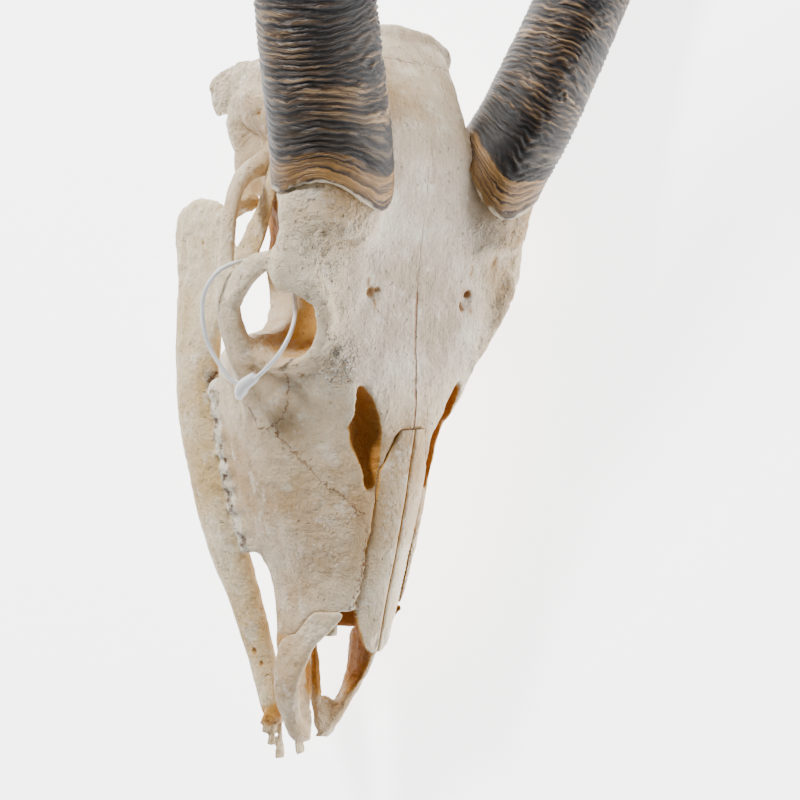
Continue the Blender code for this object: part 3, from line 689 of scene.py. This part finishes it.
def use_group(tree, name, maker, **inputs):
    """Places a node group, made on its first use, and fills its inputs."""
    group = bpy.data.node_groups.get(name) or maker()
    made = tree.nodes.new("ShaderNodeGroup")
    made.node_tree = group
    fill(tree, made, inputs)
    return made


def new_material(name, **constants):
    """A new material with its nodes and shader, or the one of that name and no nodes."""
    made = bpy.data.materials.get(name)
    if made:
        return made, None, None
    made = bpy.data.materials.new(name)
    made.use_nodes = True
    shader = made.node_tree.nodes["Principled BSDF"]
    for label, value in constants.items():
        shader.inputs[label.replace("_", " ")].default_value = value
    return made, made.node_tree, shader


def settings():
    """The values that the panel shows."""
    return bpy.context.scene.skull_finish


def bone_material(name, light, dark):
    """Dry bone: mottled ivory, a greyer brow, ochre hollows, brown seams, pores and teeth."""
    made, tree, shader = new_material(name, Metallic=0.0, IOR=1.5)
    if tree is None:
        return made
    place = node(tree, "ShaderNodeTexCoord", out=3)
    base = use_group(tree, "mottle", mottle_group, Light=(*light, 1), Dark=(*dark, 1),
                     Size=16.0, Specks=0.25)
    tone = blend(tree, stored(tree, "brow"), base.outputs["Colour"],
                 blend(tree, base.outputs["Value"], hexed("e6dac8"), hexed("bca88f")))
    pale = spread(tree, noise(tree, place, 70.0, detail=6.0, roughness=0.7), 0.54, 0.66, 0.0, 0.5)
    tone = blend(tree, pale, tone, hexed("efe8da"))
    tone = use_group(tree, "stain", stain_group, Colour=tone, Deep=hexed("a96f20"),
                     Stain=(*settings().hollow_colour, 1),
                     Amount=stored(tree, "stain")).outputs["Colour"]
    enamel = blend(tree, spread(tree, noise(tree, place, 160.0, detail=5.0), 0.44, 0.6),
                   hexed("e0d6be"), hexed("5d3f20"))
    tone = blend(tree, stored(tree, "tooth"), tone, enamel)
    seam = use_group(tree, "seam", seam_group).outputs["Mask"]
    pores = use_group(tree, "pores", pore_group, Size=620.0,
                      Amount=stored(tree, "pitted")).outputs["Mask"]
    scattered = use_group(tree, "pores", pore_group, Size=240.0, Amount=0.35).outputs["Mask"]
    crumbs = calc(tree, "MULTIPLY", spread(tree, noise(tree, place, 520.0, detail=2.0), 0.5,
                                           0.62), stored(tree, "crusty"))
    # The hole colour is partly the real ochre stain inside the foramina and partly painted shade,
    # standing in for the depth that the coarse skin does not show
    for mask, share, code in ((seam, 0.85, "8a5420"), (pores, 0.75, "94652f"),
                              (scattered, 0.7, "a07c4c"), (stored(tree, "hole"), 0.75, "a8762c"),
                              (crumbs, 0.6, "f0ebe0")):
        tone = blend(tree, calc(tree, "MULTIPLY", mask, share), tone, hexed(code))
    tree.links.new(tone, shader.inputs["Base Color"])
    rough = spread(tree, base.outputs["Value"], 0, 1, 0.5, 0.68)
    tree.links.new(rough, shader.inputs["Roughness"])
    height = calc(tree, "MULTIPLY", noise(tree, place, 230.0, detail=7.0, roughness=0.68), 0.9)
    grooves = noise(tree, node(tree, "ShaderNodeMapping", {"Vector": place,
                                                           "Scale": (1.0, 0.16, 1.0)}),
                    520.0, detail=3.0)
    broad = noise(tree, place, 95.0, detail=3.0)
    for part, share in ((grooves, 0.3), (broad, 1.1), (pores, -1.2), (scattered, -1.0),
                        (seam, -0.7), (crumbs, 1.2)):
        height = calc(tree, "ADD", height, calc(tree, "MULTIPLY", part, share))
    bump = node(tree, "ShaderNodeBump", {"Height": height, "Distance": 0.0019,
                                         "Strength": 1.0})
    tree.links.new(bump, shader.inputs["Normal"])
    return made


def horn_material():
    """Horn: near black grooves and tan-grey ridges that run in lines round it, an ochre band
    with a black one above it at the rim, and a yellow-white tip."""
    made, tree, shader = new_material("horn_sheath", Metallic=0.0, IOR=1.5)
    if tree is None:
        return made
    place = node(tree, "ShaderNodeTexCoord", out=3)
    patch = noise(tree, place, 42.0, detail=4.0)
    mark = calc(tree, "ADD", stored(tree, "mark"), spread(tree, noise(tree, place, 45.0), 0.3,
                                                          0.7, -1.8, 1.8))
    lines = streaks(tree, place, 16.0, mark, 0.42)
    hairs = streaks(tree, place, 32.0, mark, 1.3, 2.0)
    smooth = stored(tree, "smooth")
    level = calc(tree, "MULTIPLY", stored(tree, "ridge"), 0.5)
    for part in (spread(tree, lines, 0.32, 0.68, -0.05, 0.55),
                 spread(tree, hairs, 0.3, 0.7, -0.2, 0.2),
                 spread(tree, patch, 0.3, 0.7, -0.1, 0.1), calc(tree, "MULTIPLY", smooth, -0.3)):
        level = calc(tree, "ADD", level, part)
    tone = blend(tree, spread(tree, level, 0.32, 0.64), hexed("120e0d"), hexed("4e3a26"))
    tone = blend(tree, spread(tree, level, 0.6, 0.95), tone, hexed("a98a60"))
    cool = spread(tree, noise(tree, place, 60.0, detail=3.0), 0.56, 0.7, 0.0, 0.2)
    tone = blend(tree, cool, tone, blend(tree, spread(tree, level, 0.3, 0.8), hexed("1a1b20"),
                                         hexed("7d7e86")))
    tone = blend(tree, calc(tree, "MULTIPLY", stored(tree, "dark_band"), 0.75), tone,
                 hexed("191614"))
    ochre = blend(tree, spread(tree, calc(tree, "ADD", hairs, lines), 0.88, 1.2),
                  hexed("2e1b08"), hexed("aa7f46"))
    rim = calc(tree, "ADD", stored(tree, "band"), spread(tree, lines, 0.3, 0.7, -0.35, 0.35))
    tone = blend(tree, spread(tree, rim, 0.25, 0.75), tone, ochre)
    tone = blend(tree, stored(tree, "fray"), tone, hexed("dccfb4"))
    tone = blend(tree, stored(tree, "tip"), tone, hexed("cdb98c"))
    tree.links.new(tone, shader.inputs["Base Color"])
    rough = calc(tree, "SUBTRACT", spread(tree, lines, 0.3, 0.7, 0.6, 0.42),
                 calc(tree, "MULTIPLY", smooth, 0.12))
    tree.links.new(rough, shader.inputs["Roughness"])
    height = calc(tree, "ADD", lines, calc(tree, "MULTIPLY", hairs, 0.5))
    height = calc(tree, "MULTIPLY", height, calc(tree, "SUBTRACT", 1.1, smooth))
    bump = node(tree, "ShaderNodeBump", {"Height": height, "Distance": 0.0016,
                                         "Strength": 0.9})
    tree.links.new(bump, shader.inputs["Normal"])
    return made


def plastic_material():
    """Moulded white plastic, slightly grubby."""
    made, tree, shader = new_material("tag_plastic", Metallic=0.0, IOR=1.5)
    if tree is None:
        return made
    base = use_group(tree, "mottle", mottle_group, Light=hexed("f1f2f3"), Dark=hexed("dfe0e2"),
                     Size=60.0, Specks=0.15)
    tree.links.new(base.outputs["Colour"], shader.inputs["Base Color"])
    rough = spread(tree, base.outputs["Value"], 0, 1, 0.32, 0.42)
    tree.links.new(rough, shader.inputs["Roughness"])
    return made


def floor_material():
    """Matt white paper that gives off some light itself, and so comes out nearly white."""
    made, tree, shader = new_material("studio_paper", Roughness=0.9)
    if tree is None:
        return made
    shader.inputs["Base Color"].default_value = hexed("fafafa")
    shader.inputs["Emission Color"].default_value = (1, 1, 1, 1)
    shader.inputs["Emission Strength"].default_value = settings().floor_glow
    return made


def keep_inside(thing):
    """Holds a piece's points within the box of the solids."""
    mesh = thing.data
    points = in_rows(mesh.vertices, "co", len(mesh.vertices))
    held = np.clip(points, np.array(CAD_LOW), np.array(CAD_HIGH))
    mesh.vertices.foreach_set("co", held.ravel().astype(np.float32))
    mesh.update()


def finish_piece(thing, material, slot, *nodes):
    """Gives a piece its material and puts it in the place of its nodes. The slot is not used."""
    keep_inside(thing)
    thing.data.materials.clear()
    thing.data.materials.append(material)
    thing.data.shade_smooth()
    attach(thing, "root")
    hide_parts(*nodes)


def skull_bone():
    """The paler bone of the upper skull."""
    return bone_material("skull_bone", settings().bone_light, settings().bone_dark)


def jaw_bone():
    """The yellower bone of the lower jaw."""
    return bone_material("jaw_bone", settings().jaw_light, settings().jaw_dark)


def on_side(holes, sign):
    """The holes of the right side, or with -1 the same ones on the left."""
    return [((x * sign, y, z), radii) for (x, y, z), radii in holes]


def make_cranium():
    """The fused upper skull, as one fine skin."""
    own = settings()
    holes = HOLES_BOTH + on_side(HOLES_BOTH, -1) + HOLES_RIGHT + HOLES_LEFT
    skin = bone_skin("cranium_skin", "cranium", own.voxel, own.relax, holes, soft_part)
    dress_bone(skin, pitted_part)
    thin_out(skin, own.most_triangles)
    colour_bone(skin, holes, True, {"brow": brow_tint, "pitted": pitted_part,
                                    "crusty": crusty_part, "tooth": upper_tooth})
    finish_piece(skin, skull_bone(), "bone", "cranium")


def root_stain(points):
    """Where the incisors leave the jaw."""
    return 0.75 * ease(-points[:, 1], -24, -15) * ease(points[:, 1], 4, 10)


def make_mandibles():
    """The two halves of the lower jaw, with their teeth."""
    own = settings()
    for side, sign in SIDES:
        holes = on_side(HOLES_JAW, sign)
        skin = bone_skin(f"mandible_{side}_skin", f"mandible_{side}", own.jaw_voxel, JAW_PASSES,
                         holes)
        dress_bone(skin, lambda p: 0.5 * ease(p[:, 1], 230, 270))
        thin_out(skin, own.most_triangles)
        colour_bone(skin, holes, False, {"tooth": lower_tooth, "stain": root_stain,
                                         "pitted": lambda p: 0.4 * ease(p[:, 1], 235, 270)})
        finish_piece(skin, jaw_bone(), "jaw", f"mandible_{side}")


def nasal_rings(count, across):
    """The right nasal bone as rings: a profile of the arched top, the edge and the flat
    underside, carried along the face's mid line. Its free front edge is ragged."""
    y = np.linspace(*NASAL_ENDS, count)
    wide = np.interp(y, *NASAL_WIDE)
    wide -= 0.5 * np.abs(np.sin(np.pi * y / 2.1)) * ease(y, 62, 70) * ease(-y, -104, -96)
    drop = np.interp(y, *NASAL_DROP)
    top = np.interp(y, ROOF[:, 0], ROOF[:, 1])
    share = np.linspace(0, 1, across)
    x = FIT_GAP / 2 + share[None, :] * (wide[:, None] - FIT_GAP / 2)
    z = top[:, None] - drop[:, None] * (x / wide[:, None]) ** 2
    round_off = 1.2 * ((np.abs(share - 0.5) * 2) ** 10)
    upper = np.stack([-x, np.broadcast_to(y[:, None], x.shape), z - round_off], axis=-1)
    lower = upper[:, ::-1] * np.array((0.985, 1, 1)) - np.array((0, 0, NASAL_THICK - 0.2))
    lower[:, :, 2] += 2 * round_off[::-1]
    rings = np.concatenate([upper, lower], axis=1)
    flat = rings.reshape(-1, 3)
    ragged = 2.4 * lattice(flat * (1, 0, 1), 4.0, 51) + 1.4 * lattice(flat * (1, 0, 1), 1.6, 52)
    front = 1 - ease(flat[:, 1], 49, 70)
    flat[:, 1] += ragged * front + 2.0 * front * (1 - front)
    flat[:, 2] += 0.18 * layers(flat, 9, 53) + 0.05 * layers(flat, 2, 54)
    return rings, share


def make_nasals():
    """The two nasal bones, each a thick arched plate with an ochre edge."""
    rings, share = nasal_rings(*NASAL_GRID)
    edge = np.concatenate([share, share[::-1]])
    under = np.concatenate([np.zeros(len(share)), np.ones(len(share))])
    stain = np.maximum(ease(edge, 0.95, 1.0) * 0.75, 1 - ease(edge, 0.0, 0.035))
    stain = np.broadcast_to(np.maximum(stain, under), rings.shape[:2])
    pitted = np.broadcast_to(0.25 * ease(edge, 0.5, 0.8), rings.shape[:2])
    for side, sign in SIDES:
        made = outward(grid_piece(f"nasal_{side}_plate", rings * (sign, 1, 1),
                                  {"stain": stain, "pitted": pitted}))
        finish_piece(made, skull_bone(), "bone", f"nasal_{side}")


def make_premaxillae():
    """The two bones at the front of the upper jaw."""
    for side, _ in SIDES:
        skin = bone_skin(f"premaxilla_{side}_skin", f"premaxilla_{side}", PREMAXILLA_VOXEL,
                         PREMAXILLA_PASSES)
        dress_bone(skin, lambda p: np.full(len(p), 0.25))
        colour_bone(skin, [], False, {"pitted": lambda p: 0.9 * ease(-p[:, 1], -26, -8)})
        finish_piece(skin, skull_bone(), "bone", f"premaxilla_{side}")


def horn_rings(sides):
    """The right horn's sheath: an oval with a keel, carried along the horn's middle line. It
    narrows by (1 - s^1.5)^0.75, turns with the spiral, and starts on the slanted mouth."""
    own = settings()
    fine = smooth_through(HORN_PATH, 3000)
    run = np.concatenate([[0], np.cumsum(np.linalg.norm(np.diff(fine, axis=0), axis=1))])
    run -= CORE_LENGTH
    length = run[-1]
    marks = np.concatenate([np.arange(0, WRINKLED_LENGTH, RING_STEP),
                            np.linspace(WRINKLED_LENGTH, length - 0.5, OUTER_RINGS)])
    count = len(marks)
    path = np.stack([np.interp(marks, run, fine[:, k]) for k in range(3)], axis=1)
    axis = unit(np.gradient(path, marks, axis=0))
    share = marks / length
    taper = np.maximum((1 - share ** 1.5) ** 0.75 * (1 - 0.12 * share), 0.06)
    up = unit(HORN_UP - axis * (axis @ HORN_UP)[:, None])
    side = np.cross(axis, up)
    twist = np.radians(HORN_TWIST_AT_BASE - HORN_TWIST * share ** 2)[:, None]
    wide = up * np.cos(twist) + side * np.sin(twist)
    narrow = np.cross(axis, wide)
    angle = np.linspace(0, 2 * np.pi, sides, endpoint=False)[None, :]
    around = np.broadcast_to(angle, (count, sides))
    mark = np.broadcast_to(marks[:, None], (count, sides))
    spot = np.stack([np.cos(around) * 25, np.sin(around) * 25, mark], axis=-1).reshape(-1, 3)

    def field(size, seed, stretch=1.0):
        return layers(spot * (1, 1, stretch), size, seed).reshape(count, sides)

    rough = 1 - ease(mark, 190, 330)
    keel_side = np.maximum(0, np.cos(around)) ** 2
    phase = (mark + (3 + 7 * keel_side) * field(26, 61)) / RIDGE_SPACING
    big = 0.5 + 0.5 * np.cos(2 * np.pi * phase + 0.8 * field(12, 62))
    phase = (mark + (1.5 + 4 * keel_side) * field(18, 63)) / LINE_SPACING
    small = 0.5 + 0.5 * np.cos(2 * np.pi * phase + 0.9 * field(9, 64))
    strength = 0.5 + 0.5 * ease(field(26, 65), -0.5, 0.6)
    ridge = (0.32 * big ** 0.7 + 0.68 * small ** 0.8) * strength
    keel_side = 0.6 + 0.7 * keel_side
    band = 1 - ease(mark + 2.5 * field(14, 66), 7, 21)
    dark_band = (1 - ease(mark + 4 * field(14, 72), 26, 40)) * ease(mark, 12, 18)
    lift = own.wrinkle * (ridge - 0.5) * rough * keel_side * (1 - 0.75 * band)
    lift += 0.5 * field(40, 67) * rough + 0.16 * field(3.5, 68, 0.3) * (0.4 + 0.6 * band)
    keel = 1 + HORN_KEEL * np.maximum(0, np.cos(around)) ** 6
    out_wide = (HORN_WIDE * taper[:, None] * keel + lift * ease(mark, 0, 3)) * np.cos(around)
    out_narrow = (HORN_NARROW * taper[:, None] + lift * ease(mark, 0, 3)) * np.sin(around)
    offset = wide[:, None] * out_wide[..., None] + narrow[:, None] * out_narrow[..., None]
    mouth = unit(MOUTH)
    wave = sum(high * np.cos(waves * around + np.radians(turn))
               for waves, high, turn in MOUTH_WAVES)
    slide = wave - (offset @ mouth) / (axis @ mouth)[:, None]
    slide *= np.clip(1 - mark / MOUTH_FADE, 0, 1)
    slide += 0.8 * field(5, 69) * (1 - ease(mark, 0, 6))
    rings = path[:, None] + offset + axis[:, None] * slide[..., None]
    fields = {"ridge": ridge * rough + 0.3 * (1 - rough), "band": band, "dark_band": dark_band,
              "smooth": 1 - rough, "mark": mark,
              "fray": (1 - ease(mark + 1.4 * field(4, 70), 0.4, 1.8)) * 0.8,
              "tip": ease(share[:, None] + 0.02 * field(20, 71), 0.9, 0.97)}
    return rings, fields


def make_horns():
    """The two horn sheaths, wrinkled near the base, smooth and spiral further out."""
    rings, fields = horn_rings(HORN_SIDES)
    for side, sign in SIDES:
        made = outward(grid_piece(f"horn_{side}_sheath", rings * (sign, 1, 1), fields))
        finish_piece(made, horn_material(), "horn", f"horn_{side}")


def tube(name, points, halves, sides):
    """A tube whose oval section, wide × flat, is carried along a smooth path with its flat side
    towards TAG_LOOK."""
    rows = np.hstack([np.array(points, float), np.array(halves, float)])
    fine = smooth_through(rows, 12 * len(points))
    path = fine[:, :3]
    axis = unit(np.gradient(path, axis=0))
    up = unit(TAG_LOOK - axis * (axis @ TAG_LOOK)[:, None])
    side = np.cross(axis, up)
    angle = np.linspace(0, 2 * np.pi, sides, endpoint=False)
    rings = (path[:, None] + side[:, None] * (fine[:, 3:4] * np.cos(angle))[..., None]
             + up[:, None] * (fine[:, 4:5] * np.sin(angle))[..., None])
    return outward(grid_piece(name, rings, {}))


def make_tag():
    """The plastic loop and the block that closes it."""
    loop = tube("tag_loop_cord", TAG_PATH, [CORD_HALVES] * len(TAG_PATH), 16)
    finish_piece(loop, plastic_material(), "plastic", "tag_loop")
    clasp = tube("tag_clasp_block", CLASP_PATH, CLASP_HALVES, 24)
    finish_piece(clasp, plastic_material(), "plastic", "tag_clasp")


def make_stage():
    """A pale floor, soft lights and the camera."""
    own = settings()
    bpy.ops.mesh.primitive_plane_add(size=FLOOR_SIZE, location=(0, 0, 0))
    floor = bpy.context.object
    floor.name = "studio_floor"
    floor.data.materials.append(floor_material())
    middle = Vector((CAD_LOW + CAD_HIGH) / 2)
    right = Vector(LYING @ np.array(EYE_RIGHT))
    up = Vector(LYING @ np.array(EYE_UP))
    back = right.cross(up).normalized()
    up = back.cross(right)
    for label, (steps, size) in LIGHTS.items():
        place = right * steps[0] + up * steps[1] + back * steps[2]
        light = bpy.data.lights.new(label, "AREA")
        light.size = size
        light.energy = own.key_power if label == "key" else own.fill_power
        lamp = bpy.data.objects.new(label, light)
        bpy.context.scene.collection.objects.link(lamp)
        lamp.location = middle + place
        lamp.rotation_mode = "QUATERNION"
        lamp.rotation_quaternion = place.to_track_quat("Z", "Y")
    world = bpy.data.worlds.new("studio")
    world.use_nodes = True
    sky = world.node_tree.nodes["Background"]
    sky.inputs["Color"].default_value = (1, 1, 1, 1)
    sky.inputs["Strength"].default_value = own.room_light
    bpy.context.scene.world = world
    lens = bpy.data.cameras.new("camera")
    lens.sensor_width = SENSOR
    lens.lens = LENS
    lens.clip_start = 0.01
    eye = bpy.data.objects.new("camera", lens)
    bpy.context.scene.collection.objects.link(eye)
    turned = Matrix((right, up, back)).transposed().to_4x4()
    turned.translation = Vector(laid(EYE))
    eye.matrix_world = turned
    bpy.context.scene.camera = eye


class SkullFinish(bpy.types.PropertyGroup):
    """Sizes and colours of the skull's finish."""
    voxel: bpy.props.FloatProperty(
        name="Bone Voxel", description="Voxel size of the upper skull's skin, in millimetres",
        default=1.05, min=0.5, max=4.0)
    jaw_voxel: bpy.props.FloatProperty(
        name="Jaw Voxel", description="Voxel size of the lower jaw's skin, in millimetres",
        default=0.65, min=0.5, max=4.0)
    relax: bpy.props.IntProperty(
        name="Relaxing", description="How often the skin is smoothed", default=7, min=0, max=30)
    most_triangles: bpy.props.IntProperty(
        name="Most Triangles", description="Triangles kept on the upper skull", default=190000,
        min=20000, max=195000)
    wrinkle: bpy.props.FloatProperty(
        name="Horn Wrinkles", description="Height of the horn's ridges, in millimetres",
        default=1.7, min=0.0, max=5.0)
    bone_light: bpy.props.FloatVectorProperty(
        name="Bone Light", description="Lighter tone of the skull", subtype="COLOR",
        default=hexed("e4d2b2")[:3], min=0, max=1)
    bone_dark: bpy.props.FloatVectorProperty(
        name="Bone Dark", description="Darker tone of the skull", subtype="COLOR",
        default=hexed("b59468")[:3], min=0, max=1)
    jaw_light: bpy.props.FloatVectorProperty(
        name="Jaw Light", description="Lighter tone of the lower jaw", subtype="COLOR",
        default=hexed("ead7b0")[:3], min=0, max=1)
    jaw_dark: bpy.props.FloatVectorProperty(
        name="Jaw Dark", description="Darker tone of the lower jaw", subtype="COLOR",
        default=hexed("c9a76e")[:3], min=0, max=1)
    hollow_colour: bpy.props.FloatVectorProperty(
        name="Hollow Stain", description="Ochre stain inside the hollows", subtype="COLOR",
        default=hexed("c4913f")[:3], min=0, max=1)
    floor_glow: bpy.props.FloatProperty(
        name="Floor Glow", description="Light that the floor gives off by itself",
        default=4.0, min=0)
    key_power: bpy.props.FloatProperty(
        name="Key Light", description="Power of the main light, in watts", default=115.0,
        min=0)
    fill_power: bpy.props.FloatProperty(
        name="Fill Light", description="Power of each other light, in watts", default=10.0,
        min=0)
    room_light: bpy.props.FloatProperty(
        name="Room Light", description="Strength of the even light from all around",
        default=0.16, min=0)


class SKULL_OT_cranium(bpy.types.Operator):
    """Make the fine skin of the upper skull"""
    bl_idname = "skull.cranium"
    bl_label = "Upper Skull"

    def execute(self, context):
        make_cranium()
        return {"FINISHED"}


class SKULL_OT_mandibles(bpy.types.Operator):
    """Make both halves of the lower jaw"""
    bl_idname = "skull.mandibles"
    bl_label = "Lower Jaw"

    def execute(self, context):
        make_mandibles()
        return {"FINISHED"}


class SKULL_OT_nasals(bpy.types.Operator):
    """Make the two nasal bones"""
    bl_idname = "skull.nasals"
    bl_label = "Nasal Bones"

    def execute(self, context):
        make_nasals()
        return {"FINISHED"}


class SKULL_OT_premaxillae(bpy.types.Operator):
    """Make the two bones at the front of the upper jaw"""
    bl_idname = "skull.premaxillae"
    bl_label = "Premaxillae"

    def execute(self, context):
        make_premaxillae()
        return {"FINISHED"}


class SKULL_OT_horns(bpy.types.Operator):
    """Make the two horn sheaths"""
    bl_idname = "skull.horns"
    bl_label = "Horns"

    def execute(self, context):
        make_horns()
        return {"FINISHED"}


class SKULL_OT_tag(bpy.types.Operator):
    """Make the plastic tag loop and its clasp"""
    bl_idname = "skull.tag"
    bl_label = "Tag"

    def execute(self, context):
        make_tag()
        return {"FINISHED"}


class SKULL_OT_stage(bpy.types.Operator):
    """Make the floor, the lights and the camera"""
    bl_idname = "skull.stage"
    bl_label = "Stage"

    def execute(self, context):
        make_stage()
        return {"FINISHED"}


OPERATORS = (SKULL_OT_cranium, SKULL_OT_mandibles, SKULL_OT_nasals, SKULL_OT_premaxillae,
             SKULL_OT_horns, SKULL_OT_tag, SKULL_OT_stage)


class SKULL_PT_panel(bpy.types.Panel):
    """Lists the pieces and their settings"""
    bl_idname = "SKULL_PT_panel"
    bl_label = "Antelope Skull"
    bl_space_type = "VIEW_3D"
    bl_region_type = "UI"
    bl_category = "Skull"

    def draw(self, context):
        for made in OPERATORS:
            self.layout.operator(made.bl_idname)
        for label in SkullFinish.__annotations__:
            self.layout.prop(context.scene.skull_finish, label)


def register():
    for made in (SkullFinish, *OPERATORS, SKULL_PT_panel):
        bpy.utils.register_class(made)
    bpy.types.Scene.skull_finish = bpy.props.PointerProperty(type=SkullFinish)


def unregister():
    del bpy.types.Scene.skull_finish
    for made in (SKULL_PT_panel, *reversed(OPERATORS), SkullFinish):
        bpy.utils.unregister_class(made)


def main():
    """Makes every piece and the stage."""
    register()
    bpy.ops.skull.cranium()
    bpy.ops.skull.mandibles()
    bpy.ops.skull.nasals()
    bpy.ops.skull.premaxillae()
    bpy.ops.skull.horns()
    bpy.ops.skull.tag()
    bpy.ops.skull.stage()


if __name__ == "__main__":
    main()
